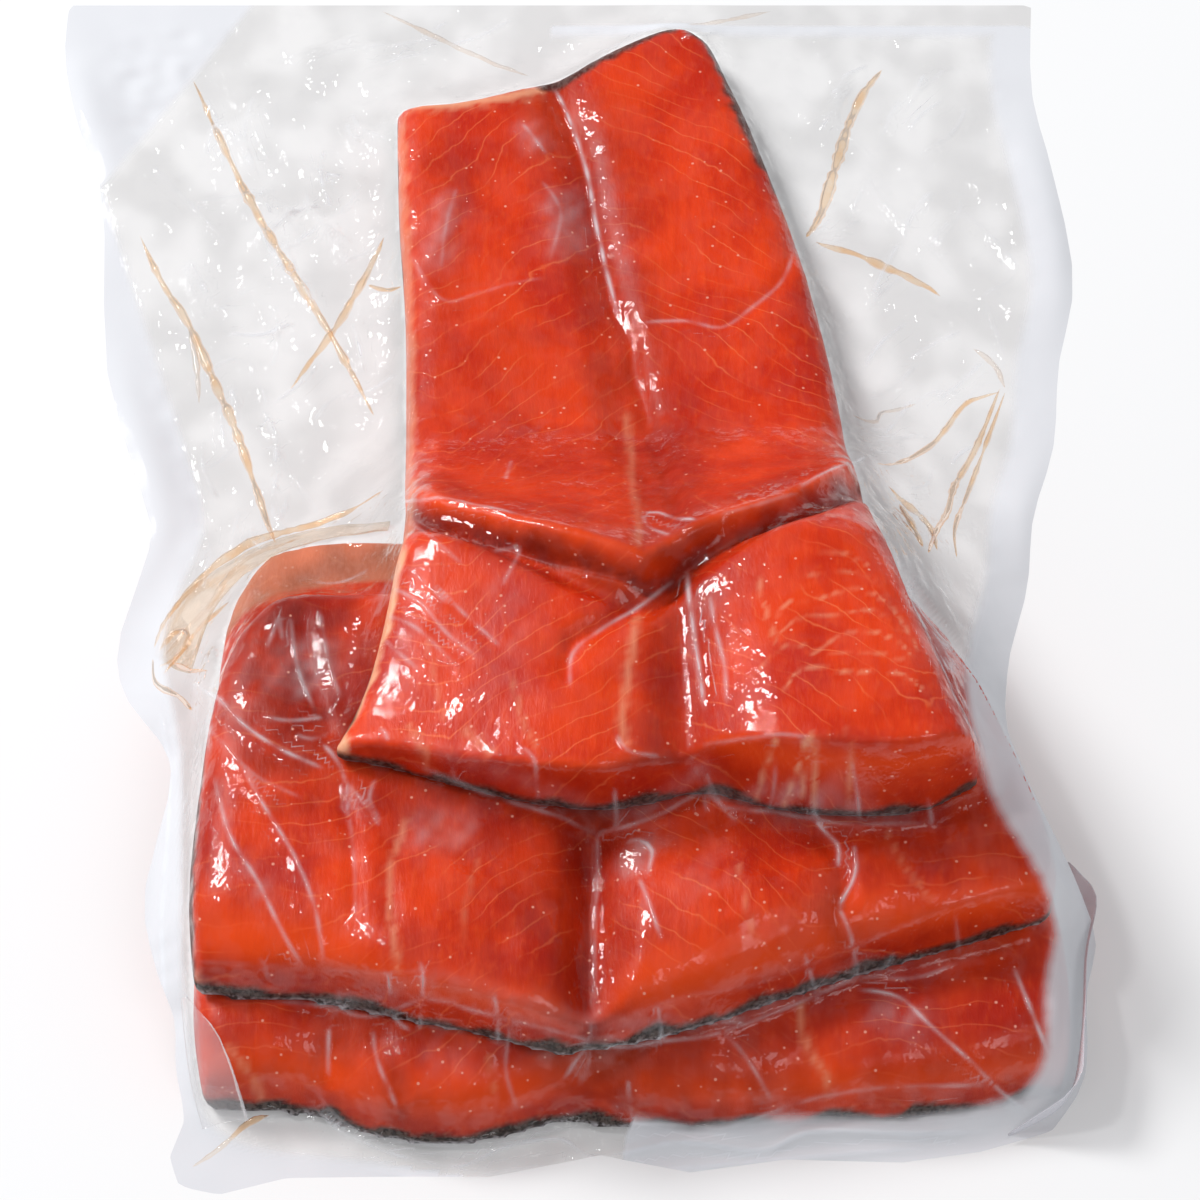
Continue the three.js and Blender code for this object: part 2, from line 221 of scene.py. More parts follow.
# %% [markdown]
# ## Creases in the flesh
# Each crease is a line on the plan with a half width and a depth. A negative depth is a ridge.
# The lines follow what the film does to the fish: a groove along the flank, a V-shaped fold where
# the tail portion bends down, small dents, and channels in the two lower portions.

# %% Lines that shape the flesh
TAIL_FOLD = [(-32, -8), (-28, -16), (-24, -21), (-19, -24.5), (-7, -31), (4, -36), (15, -40),
             (18, -40), (24, -34.5), (30, -31), (39, -26), (45, -22), (54, -12), (59, 0), (62, 12)]
TAIL_GROOVE = [(-2, 113), (1, 106), (5, 91), (7, 77), (9, 65), (11, 53), (14, 45), (15, 35), (17, 27),
               (20, 7), (23, -24), (24, -32)]
TAIL_DIAGONAL = [(24, -35), (18, -39), (15, -42), (10, -48), (3, -52), (2, -57), (2, -63)]


def shifted(corners, sideways):
    """The line moved to its left by some millimetres."""
    p = np.array(corners, dtype=float)
    heading = np.gradient(p, axis=0)
    heading /= np.linalg.norm(heading, axis=1)[:, None]
    return p + sideways * np.stack([-heading[:, 1], heading[:, 0]], axis=1)


CREASES = {
    "tail_portion": [
        (TAIL_GROOVE, 1.5, 1.0),
        (TAIL_GROOVE, 5.0, 0.8),
        (TAIL_FOLD, 1.0, 1.9),
        (shifted(TAIL_FOLD, 3.6), 2.0, -1.5),
        (shifted(TAIL_FOLD, -4.5), 3.0, -0.5),
        (TAIL_DIAGONAL, 1.6, 1.2),
        ([(25, -35), (25, -45), (26, -54), (28, -68)], 0.9, 0.35),
        ([(-30, -38), (-25, -44), (-20, -51), (-14, -57)], 1.3, 0.4),
        ([(-23, -39), (-16, -47), (-10, -54)], 1.3, 0.3),
        ([(-31, -44), (-25, -51), (-18, -59)], 1.2, 0.3),
        ([(-31, -50), (-25, -57)], 1.2, 0.3),
        ([(-26, 63), (-24, 72), (-22, 84)], 2.6, -0.7),
        ([(-32, 72), (-24, 54), (-17, 55), (-9, 58), (-1, 60)], 1.4, -0.4),
        ([(-7, 101), (-3, 94)], 3.0, -0.6),
        ([(-3, 84), (0, 76), (-1, 64)], 4.0, -0.8),
        ([(15, 48), (25, 48), (32, 46), (38, 51), (45, 60), (48, 78)], 1.4, 0.5),
        ([(-8, 4), (-10, -5)], 2.4, -0.5),
        ([(12, -75), (15, -78), (22, -77)], 2.4, -0.6),
        ([(13, 30), (14, -1), (15, -34)], 1.4, -0.3),
    ],
    "middle_portion": [
        ([(6, -79), (6, -88), (5.5, -100), (5, -108), (6, -122)], 2.0, 1.6),
        ([(-39, -72), (-37, -86), (-36, -98), (-36, -104)], 1.6, 0.6),
        ([(-48, -34), (-46, -49), (-43, -59), (-41, -66)], 1.8, 0.8),
        ([(47, -84), (51, -91), (53, -97), (51, -101), (53, -106)], 1.8, 0.9),
        ([(-28, -84), (-30, -94), (-29, -107)], 2.0, 0.35),
        ([(-9, -104), (-10, -112), (-8, -119)], 3.0, 0.5),
        ([(26, -86), (29, -96), (32, -104)], 3.5, 0.5),
    ],
    "lower_portion": [
        ([(-32, -116), (-31, -123), (-27, -130)], 1.8, 0.9),
        ([(-41, -118), (-41, -126)], 1.6, 0.6),
        ([(-9, -120), (-10, -123), (-8, -129)], 1.8, 0.6),
        ([(84, -104), (88, -117), (90, -120)], 1.4, 0.5),
        ([(13, -125), (14, -130)], 1.6, 0.5),
        ([(30, -119), (34, -123), (39, -127)], 1.6, 0.5),
    ],
}


def press_creases(portion, swell, seed):
    """Swells a portion softly, presses its creases in, and returns its points, the directions they
    face and how far they face up."""
    p = points_of(portion)
    normal = normals_of(portion)
    up = ramp(0.15, 0.6, normal[:, 2])
    swelling = wobble(p[:, 0], p[:, 1], 26, seed) + 0.5 * wobble(p[:, 0], p[:, 1], 11, seed + 1)
    p += normal * (swell * swelling * up)[:, None]
    depth = np.zeros(len(p))
    for corners, width, deep in CREASES[portion.name]:
        number, distance, along = beside(p[:, :2], corners, 3 * width)
        depth[number] += deep * bump(distance, width) * taper(along)
    p[:, 2] -= depth * up
    move_points(portion, p)
    return p, normal, up


shapes = {}
for portion, swell, seed in ((lower, 0.30, 3), (middle, 0.34, 5), (tail, 0.26, 8)):
    shapes[portion.name] = press_creases(portion, swell, seed)
    print("creased", portion.name)

# %% [markdown]
# ## What colours the flesh
# Smoked steelhead is orange red, darker and browner along the flank line and near the skin. White
# fat lies in thin lines between the muscle flakes. Painted shade goes into the creases, under the
# lips and low on the cut faces, and a painted highlight onto the lit lips. Each of these is stored
# as a number on the points of the mesh, worked out from the plan, so that the material can mix its
# colours by them.

# %% Paint the flesh
# Where fat shows: line, half width, amount.
FAT_LINES = {
    "tail_portion": [
        ([(13, 28), (14, 12), (14, -1), (15, -20), (15, -36)], 1.0, 0.28),
        ([(15, -44), (14, -53), (13, -61), (12, -70), (13, -77)], 1.1, 0.40),
        ([(-31.5, -26), (-32.5, -34), (-34, -45), (-36.5, -56), (-39.5, -64), (-42, -70)], 1.7, 1.0),
        ([(-34.5, 104), (-34, 80), (-32, 50), (-31, 5), (-30, -16)], 1.3, 0.45),
        ([(-34, 109), (-27, 107), (-19, 107.5), (-10.5, 109), (-3, 112)], 2.0, 0.7),
        ([(40, -52), (42, -48), (48, -47), (53, -45), (56, -45), (60, -47), (63, -52), (66, -59)],
         0.3, 0.42),
        ([(46, -61), (50, -57), (54, -55), (58, -55), (63, -58), (65, -61)], 0.3, 0.40),
        ([(41, -69), (44, -64), (50, -64), (54, -65), (58, -64), (63, -65), (67, -69)], 0.3, 0.42),
        ([(38, -58), (44, -52), (50, -51), (58, -50), (64, -55)], 0.3, 0.30),
        ([(36, -64), (42, -58), (50, -60), (57, -60), (64, -62)], 0.3, 0.28),
        ([(48, -36), (52, -36), (55, -37), (58, -39)], 0.3, 0.30),
        ([(44, -42), (50, -41), (56, -41), (61, -46)], 0.3, 0.25),
        ([(37, -41), (38, -48), (40, -58)], 0.4, 0.35),
        ([(-27, -67), (-25, -71), (-23, -74)], 1.0, 0.30),
        ([(-17, -69), (-14, -73), (-11, -76)], 1.0, 0.30),
        ([(-8, -60), (-6, -70), (-3, -76)], 0.6, 0.25),
        ([(-24, -50), (-22, -60), (-20, -68)], 0.5, 0.2),
        ([(46, -78), (42, -81), (36, -83)], 0.35, 0.7),
        ([(46, -78), (44, -82), (40, -85)], 0.35, 0.6),
        ([(46, -78), (47, -83), (46, -86)], 0.35, 0.6),
        ([(40, -78), (36, -80), (32, -82)], 0.35, 0.6),
        ([(52, -77), (53, -81), (54, -85)], 0.35, 0.4),
    ],
    "middle_portion": [
        ([(-27, -81), (-30, -94), (-29, -107), (-28, -114)], 0.8, 0.35),
        ([(33, -92), (34, -100), (36, -108)], 0.5, 0.25),
        ([(-66, -107), (-64, -111), (-63, -114)], 0.8, 0.3),
        ([(-14, -90), (-16, -100), (-17, -110)], 0.6, 0.16),
        ([(60, -84), (63, -92), (68, -99)], 0.6, 0.2),
    ],
    "lower_portion": [
        ([(44, -111), (45, -119), (48, -124), (50, -127)], 0.9, 0.35),
        ([(-12, -122), (-11, -128)], 0.6, 0.25),
        ([(-60, -119), (-52, -126), (-44, -130)], 0.8, 0.3),
    ],
}

# Where the skin shows along an edge: line, half width.
SKIN_LINES = {
    "tail_portion": [
        ([(-4, 112), (8, 119), (16, 124.5), (23, 128)], 1.6),
        ([(26, 129), (31, 125.5), (34.5, 116), (38, 103), (42, 92)], 2.2),
        ([(41, 95), (46.5, 81), (50, 69), (53.5, 50), (56.5, 31), (58, 14), (59, -5)], 1.1),
    ],
    "middle_portion": [
        ([(-66, -116), (-67, -92), (-66.5, -70), (-66, -50), (-63, -36), (-57, -29), (-43, -27),
          (-30, -26)], 1.4),
        ([(81, -50), (87, -66), (91, -83), (93, -92)], 1.0),
    ],
    "lower_portion": [
        ([(-50, -128), (-43, -131), (-33, -134)], 2.2),
    ],
}

# Behind this line the stack slopes down, brown under amber juice.
BACK_OF_STACK = {
    "middle_portion": [(-70, -66), (-66.5, -48), (-63, -36), (-56, -30), (-43, -28), (-26, -27)],
    "lower_portion": [(-80, -70), (-74, -50), (-66, -34), (-56, -24), (-44, -20), (-26, -19)],
}

# Painted shade in the tail's fold, in creases and under the lips, and darker patches of flesh:
# line, half width, amount.
SHADE_AND_DARK_LINES = {
    "tail_portion": [
        (TAIL_FOLD, 1.9, 1.0),
        (shifted(TAIL_FOLD, 9), 5, 0.35),
        (shifted(TAIL_FOLD, -3), 2.4, 0.5),
        ([(-30, 20), (-24, 60), (-22, 90)], 8, 0.30),
        ([(3, 100), (9, 70), (15, 35)], 2.6, 0.5),
        ([(20, 30), (24, -10), (26, -30)], 4, 0.35),
        ([(-10, 40), (-5, 0)], 14, 0.22),
    ],
    "middle_portion": [
        ([(-56, -20), (-50, -40), (-47, -60)], 15, 0.95),
        ([(-40, -12), (-20, -12)], 10, 0.7),
        ([(-36, -74), (-10, -84), (10, -86)], 7, 0.55),
        ([(-2, -84), (-2, -100)], 9, 0.45),
        ([(6, -80), (6, -124)], 3.0, 0.7),
        ([(36, -86), (60, -88), (80, -84)], 8, 0.45),
        ([(-66, -70), (-66, -108)], 5, 0.3),
        ([(46, -88), (52, -104)], 4, 0.4),
    ],
    "lower_portion": [
        ([(10, -119), (34, -121)], 10, 0.62),
        ([(-40, -118), (-26, -118)], 6, 0.6),
        ([(44, -112), (84, -104)], 6, 0.5),
        ([(-31, -118), (-28, -130)], 3, 0.6),
        ([(60, -118), (84, -114)], 10, 0.35),
        ([(-66, -116), (-46, -118)], 5, 0.3),
    ],
}
TABLE_FILM, MIDDLE_LIES, TAIL_LIES = 1.1, 16.8, 32.7   # the height that each portion lies at
FLANK_WIDTH = 9                  # half width of the dark muscle along the flank line
FLANK_REACH = 40                 # how far from the flank line the flakes still lean
for kind, lines in (("fat", FAT_LINES), ("skin", SKIN_LINES), ("shade", SHADE_AND_DARK_LINES)):
    print(sum(len(group) for group in lines.values()), "lines of", kind)


# %% [markdown]
# Weight paint would do for this on a simple piece. Here the lines have to follow creases and edges
# to a fraction of a millimetre, so the numbers are worked out from the distance to each line.

# %% Brush the paint on
def paint_dark_and_shade(portion, above, thick, near_flank, from_flank, flank_dark):
    """Darker flesh: dark muscle along the flank, and painted shade low on the cut faces and along
    the shade lines, some of which are darker patches of flesh.
    """
    p, normal, up = shapes[portion.name]
    x, y, z = p.T
    dark = np.zeros(len(p))
    spread = FLANK_WIDTH + 3 * wobble(x[near_flank], y[near_flank], 14, 41)
    dark[near_flank] = bump(from_flank, spread) * flank_dark
    dark *= up
    # painted shade: the cut faces look away from the key light, and are darker low down
    cut = ramp(0.35, 0.8, -normal[:, 1])
    shade = ramp(thick, 0.25 * thick, above + 2.5 * wobble(x, z, 14, 42))
    for corners, width, amount in SHADE_AND_DARK_LINES[portion.name]:
        near, distance, _ = beside(p[:, :2], corners, 2.2 * width)
        ragged = width * (1 + 0.3 * wobble(x[near], y[near], 6, 47))
        dark[near] = np.maximum(dark[near], amount * bump(distance, ragged))
    paint(portion, "dark", clamp(dark + cut * 0.32 * shade))


def paint_lip(portion, above, thick):
    """The lit lip between the top and a cut face, and the lit side of the tail portion's fold."""
    p, normal, _ = shapes[portion.name]
    lip = bump(above - thick + 2.5, 3.5) * ramp(0.05, 0.4, -normal[:, 1])
    if portion is tail:
        near, distance, _ = beside(p[:, :2], shifted(TAIL_FOLD, 3.4), 6)
        lip[near] = np.maximum(lip[near], bump(distance, 1.5))
    paint(portion, "lip", clamp(lip))


def paint_fat_and_skin(portion, above):
    """White fat lines and dark skin, widened into painted shade under the lips, with the brown slope
    at the back of the stack and the pale rim of the tail portion."""
    p, normal, _ = shapes[portion.name]
    x, y, _ = p.T
    fat = np.zeros(len(p))
    for corners, width, amount in FAT_LINES[portion.name]:
        near, distance, along = beside(p[:, :2], corners, 3 * width)
        ragged = width * (0.75 + 0.35 * wobble(x[near], y[near], 3.0, 40))
        fat[near] = np.maximum(fat[near], amount * bump(distance, ragged) * taper(along, 0.06))
    fat *= ramp(-0.7, -0.2, normal[:, 2])
    # dark skin along the bottom of each portion, widened into a band of painted shade under the lips
    ragged = 3.2 + 1.2 * wobble(x, y, 11, 44) + 0.3 * wobble(x, y, 3, 45)
    skin = 1 - ramp(ragged - 0.8, ragged + 0.8, above)
    for corners, width in SKIN_LINES[portion.name]:
        near, distance, _ = beside(p[:, :2], corners, 3 * width)
        rim = width * (1 + 0.35 * wobble(x[near], y[near], 4, 48))
        edge = 0.9 - 0.9 * ramp(0.5 * rim, 1.2 * rim, np.abs(distance))
        skin[near] = np.maximum(skin[near], edge)
    if portion.name in BACK_OF_STACK:
        near, distance, _ = beside(p[:, :2], BACK_OF_STACK[portion.name], 30)
        beyond = ramp(0.3, 1.6, distance)
        brown = beyond * (0.35 + 0.2 * wobble(x[near], y[near], 12, 49))
        skin[near] = np.maximum(skin[near], brown)
        fat[near] = np.maximum(fat[near], 0.5 * beyond)
    else:
        # the trimmed left edge of the tail portion is a rim of pale fat
        rows = np.arange(-76, 110, 3.0)
        edge = np.array([x[np.abs(y - row) < 2.0].min() for row in rows])
        inward = x - np.interp(y, rows, edge)
        rim = 1 - ramp(1.4, 2.6, inward + 0.6 * wobble(x, y, 5, 50))
        rim *= 0.35 + 0.65 * ramp(-20, -34, y)
        fat = np.maximum(fat, rim * ramp(108, 102, y))
    paint(portion, "fat", clamp(fat))
    paint(portion, "skin", skin)
    # a silver band along the very bottom: silver skin, and a painted reflection of the film spanning the
    # step
    paint(portion, "silver_and_reflection", 1 - ramp(0.5, 1.3, above + 0.4 * wobble(x, y, 2.5, 46)))


def paint_portion(portion, floor_of, thick, flank, flank_dark):
    """Paints a portion that is thick millimetres deep and lies on the floor that floor_of gives."""
    p = shapes[portion.name][0]
    x, y, z = p.T
    above = z - floor_of(x, y)
    near_flank, from_flank, _ = beside(p[:, :2], flank, FLANK_REACH)
    paint_dark_and_shade(portion, above, thick, near_flank, from_flank, flank_dark)
    paint_lip(portion, above, thick)
    # muscle flakes meet in chevrons at the flank line
    side = np.full(len(p), float(FLANK_REACH))
    side[near_flank] = np.abs(from_flank)
    paint(portion, "flake", y + 0.75 * side + 3.0 * wobble(x, y, 30, 43) + 0.4 * z)
    paint_fat_and_skin(portion, above)


def tail_floor(x, y):
    """The tail portion lies on the stack, and from there it slopes down to the table."""
    down = clamp((y + 30) / 50)
    return TAIL_LIES + (TABLE_FILM - TAIL_LIES) * down


paint_portion(lower, lambda x, y: TABLE_FILM, 13, [(2, -140), (4, -60), (4, 0)], 0.5)
paint_portion(middle, lambda x, y: MIDDLE_LIES, 14, [(4, -126), (6, -70), (6, -20)], 0.5)
paint_portion(tail, tail_floor, 18, TAIL_GROOVE + [(22, -60), (20, -86)], 0.6)
for portion in portions:
    names = [a.name for a in portion.data.attributes if a.data_type == "FLOAT"]
    print(portion.name, "painted:", ", ".join(names))

# %% [markdown]
# ## Materials
# A material is a small graph of nodes. This helper adds a node and fills its inputs: a number or a
# colour is set on the input, and another node's output is linked to it.

# %% A helper for material nodes
class Graph:
    """A material, and short ways to add nodes to it."""

    def __init__(self, name):
        self.material = bpy.data.materials.new(name)
        self.material.use_nodes = True
        self.tree = self.material.node_tree
        self.tree.nodes.clear()

    def add(self, kind, *inputs, out=0, **settings):
        made = self.tree.nodes.new("ShaderNode" + kind)
        for key, value in settings.items():
            setattr(made, key, value)
        for name, value in inputs:
            socket = made.inputs[name]
            if isinstance(value, bpy.types.NodeSocket):
                self.tree.links.new(value, socket)
            else:
                socket.default_value = value
        return made.outputs[out] if made.outputs else None

    def math(self, operation, a, b=0.0):
        return self.add("Math", (0, a), (1, b), operation=operation)

    def times(self, a, b):
        return self.math("MULTIPLY", a, b)

    def plus(self, a, b):
        return self.math("ADD", a, b)

    def value(self, name):
        """A number that was painted on the points."""
        return self.add("Attribute", out="Fac", attribute_name=name)

    def mix(self, share, a, b):
        """Two colours mixed. A Mix node's sockets 0, 6 and 7 are its share and its two colours."""
        return self.add("Mix", (0, share), (6, a), (7, b), out=2, data_type="RGBA")

    def blend(self, share, a, b):
        """Two shaders mixed."""
        return self.add("MixShader", (0, share), (1, a), (2, b))

    def shiny(self, roughness, **inputs):
        return self.add("BsdfGlossy", ("Color", rgb(1, 1, 1)), ("Roughness", roughness),
                        *((key.title(), value) for key, value in inputs.items()))

    def between(self, value, low, high, to_low=0.0, to_high=1.0):
        """A value between low and high, smoothly turned into one between to_low and to_high."""
        return self.add("MapRange", ("Value", value), ("From Min", low), ("From Max", high),
                        ("To Min", to_low), ("To Max", to_high), interpolation_type="SMOOTHSTEP")

    def place(self, *scale):
        """The place on the object in millimetres, divided by the scale given for each axis."""
        spot = self.add("TexCoord", out="Object")
        return self.add("Mapping", ("Vector", spot), ("Scale", [1 / (s * MM) for s in scale]))

    def noise(self, place, detail=3.0, roughness=0.55):
        return self.add("TexNoise", ("Vector", place), ("Scale", 1.0), ("Detail", detail),
                        ("Roughness", roughness), out="Fac")

    def finish(self, shader):
        self.add("OutputMaterial", ("Surface", shader))
        return self.material


def rgb(red, green, blue):
    return (red, green, blue, 1.0)


print("materials so far:", len(bpy.data.materials))


# %% [markdown]
# The flesh is one glossy plastic-like shader with a mixed colour: broad and fine mottling, streaks,
# pale sheets between the flakes, then the painted numbers. Real flesh also lets light scatter in
# it. That is left out, because it is slow to render and the wet film hides most of it.

# %% The flesh
def make_flesh(name, deep, lit, flaky):
    """Flesh between a deep and a lit colour, with the flakes' pale sheets as strong as flaky."""
    g = Graph(name)
    broad = g.noise(g.place(17, 21, 17), 4.0, 0.6)
    fine = g.noise(g.place(1.1, 3.4, 2), 3.0, 0.65)
    streak = g.noise(g.place(1.8, 20, 7), 3.0)
    colour = g.mix(g.between(broad, 0.30, 0.66), deep, lit)
    colour = g.mix(g.times(g.between(streak, 0.45, 0.70), 0.26), colour, deep)
    colour = g.mix(g.times(g.between(fine, 0.48, 0.72), 0.20), colour, rgb(0.88, 0.11, 0.020))
    # thin pale sheets between the flakes
    bend = g.times(g.noise(g.place(9, 9, 9), 3.0), 5.0)
    row = g.math("DIVIDE", g.plus(g.value("flake"), bend), FLAKE)
    thin = g.between(g.math("PINGPONG", row, 0.5), 0.0, 0.06, 1.0, 0.0)
    patchy = g.between(g.noise(g.place(14, 14, 14), 2.0), 0.36, 0.62)
    colour = g.mix(g.times(g.times(thin, patchy), flaky), colour, rgb(0.92, 0.21, 0.075))
    # darker muscle along the flank; painted shade on the cut faces, in creases and under the lips;
    # and a painted highlight on the lit lips and on the lit side of the tail portion's fold
    uneven = g.between(g.noise(g.place(6, 6, 6)), 0.2, 0.65, 0.55, 1.0)
    dark = g.times(g.value("dark"), uneven)
    colour = g.mix(g.times(g.value("lip"), 0.85), colour, rgb(0.84, 0.066, 0.004))
    colour = g.mix(g.times(dark, 0.9), colour, rgb(0.17, 0.008, 0.004))
    colour = g.mix(g.value("fat"), colour, rgb(0.88, 0.42, 0.24))
    # tiny white specks of fat and froth
    cell = g.add("TexVoronoi", ("Vector", g.place(3.2, 3.2, 3.2)), ("Scale", 1.0), out="Distance")
    speck = g.between(cell, 0.06, 0.12, 1.0, 0.0)
    colour = g.mix(g.times(speck, 0.6), colour, rgb(0.9, 0.42, 0.30))
    # skin, dark, widened into painted shade under the lips, with a silver band along its bottom
    # that is partly silver skin and partly a painted reflection of the film spanning the step
    scales = g.noise(g.place(0.9, 1.6, 0.9), 2.0)
    hide = g.mix(g.between(scales, 0.4, 0.6), rgb(0.022, 0.013, 0.010), rgb(0.085, 0.062, 0.052))
    silver_and_reflection = g.times(g.value("silver_and_reflection"), g.between(scales, 0.35, 0.6))
    hide = g.mix(silver_and_reflection, hide, rgb(0.42, 0.40, 0.42))
    colour = g.mix(g.value("skin"), colour, hide)
    relief = g.times(fine, 0.14)
    normal = g.add("Bump", ("Strength", 1.0), ("Distance", MM), ("Height", relief))
    return g.finish(g.add(
        "BsdfPrincipled", ("Base Color", colour), ("Roughness", 0.40), ("IOR", 1.4),
        ("Specular IOR Level", 0.25), ("Normal", normal)))


FLAKE = 5.2                      # millimetres from one muscle flake to the next
tail_flesh = make_flesh("tail flesh", rgb(0.52, 0.017, 0.003), rgb(0.77, 0.049, 0.005), 0.42)
stack_flesh = make_flesh("stack flesh", rgb(0.44, 0.012, 0.002), rgb(0.74, 0.047, 0.005), 0.38)
for portion in portions:
    portion.data.materials.append(tail_flesh if portion is tail else stack_flesh)
    print(portion.name, "is made of", portion.active_material.name)

# %% [markdown]
# ## The shape of the film
# The film clings to the fish and to the film below it. Think of a ball rolled over everything from
# above: the film lies wherever the ball touches, so it spans narrow gaps and follows broad forms.
# The heights are kept on a regular raster. Rays lean towards the near end, so that the steep cut
# faces, which look that way, get enough points as well.

# %% Feel the heights of the fish and the pouch
PITCH = 0.8                      # of the raster
LEAN = 0.45                      # how far a ray leans for each millimetre of height
TOP = 80.0                       # the height that rays start from
NOTHING = -50.0                  # the height where a ray meets nothing
LOW, HIGH = np.array([-112.0, -152.0]), np.array([112.0, 150.0])
raster_x = np.arange(LOW[0], HIGH[0], PITCH)
raster_y = np.arange(LOW[1], HIGH[1], PITCH)
grid_x, grid_y = np.meshgrid(raster_x, raster_y, indexing="ij")
down = Vector((0, LEAN, -1)).normalized()


def feel(trees):
    """The highest point that each leaning ray meets, on the raster."""
    heights = np.full(grid_x.shape, NOTHING)
    for i, x in enumerate(raster_x):
        for j, y in enumerate(raster_y):
            start = Vector((x * MM, (y - LEAN * TOP) * MM, TOP * MM))
            for tree in trees:
                hit = tree.ray_cast(start, down)[0]
                if hit is not None:
                    heights[i, j] = max(heights[i, j], hit.z / MM)
    return heights


pouch_tree = tree_of(nodes["pouch"])
fish_height = feel([tree_of(portion) for portion in portions])
pouch_height = feel([pouch_tree])
print("fish up to", round(fish_height.max(), 1), "mm, pouch up to", round(pouch_height.max(), 1), "mm")


# %% [markdown]
# A cloth simulation could pull a film down over the fish, but it takes minutes and has to be baked.
# Rolling a ball is a few array steps. A small ball gives the tight film over the fish, a large one
# the film that spans from the fish to the pouch, and the two are blended.

# %% Roll the ball
def slid(field, axis, steps, fill):
    """The field shifted by some steps of the raster."""
    out = np.full_like(field, fill)
    n = field.shape[axis]
    here = [slice(None)] * 2
    there = [slice(None)] * 2
    here[axis] = slice(max(0, steps), min(n, n + steps))
    there[axis] = slice(max(0, -steps), min(n, n - steps))
    out[tuple(here)] = field[tuple(there)]
    return out


def span(field, radius, tallest=30.0):
    """Spans the hollows of a field that a ball of this radius can't reach into."""
    reach = int(math.sqrt(2 * radius * tallest) / PITCH) + 1
    for best, sign, fill in ((np.maximum, -1, -1e6), (np.minimum, 1, 1e6)):
        for axis in (0, 1):
            result = field.copy()
            for k in range(1, reach + 1):
                drop = sign * (k * PITCH) ** 2 / (2 * radius)
                for steps in (k, -k):
                    result = best(result, slid(field, axis, steps, fill) + drop)
            field = result
    return field


def soften(field, width):
    """A soft blur of a field, width millimetres wide."""
    reach = max(1, int(2.5 * width / PITCH))
    weights = [math.exp(-((k * PITCH / width) ** 2) / 2) for k in range(-reach, reach + 1)]
    for axis in (0, 1):
        stack = np.array([slid(field, axis, k, np.nan) for k in range(-reach, reach + 1)])
        share = np.array(weights)[:, None, None] * ~np.isnan(stack)
        field = (np.nan_to_num(stack) * share).sum(0) / share.sum(0)
    return field


CLEAR = 0.30                     # from the flesh to the film
sheet = np.maximum(pouch_height, 0.8)
sheet = soften(np.minimum(sheet, 6.0), 2.2)
under = np.maximum(fish_height + CLEAR, sheet)
tight = span(under, 2.6)
wide = span(under, 14.0)
flank_gap = ramp(-50, -30, grid_y) * ramp(60, 20, grid_y)
over_fish = fish_height > 0
film_height = tight + (wide - tight) * np.where(over_fish, 0.10, 0.25 + 0.5 * flank_gap)
film_height = np.maximum(soften(film_height, 0.7), fish_height + CLEAR)
pucker = 0.10 * wobble(grid_x, grid_y, 5.5, 71, 24) + 0.16 * wobble(grid_x, grid_y, 12, 72, 16)
from_edge = soften((pouch_height > 0.2).astype(float), 9.0)
film_height += 0.16 + pucker * np.where(over_fish, 0.8, 2.6 * ramp(0.72, 0.99, from_edge))
print("film spans", round(float((film_height - under).max()), 1), "mm at most")
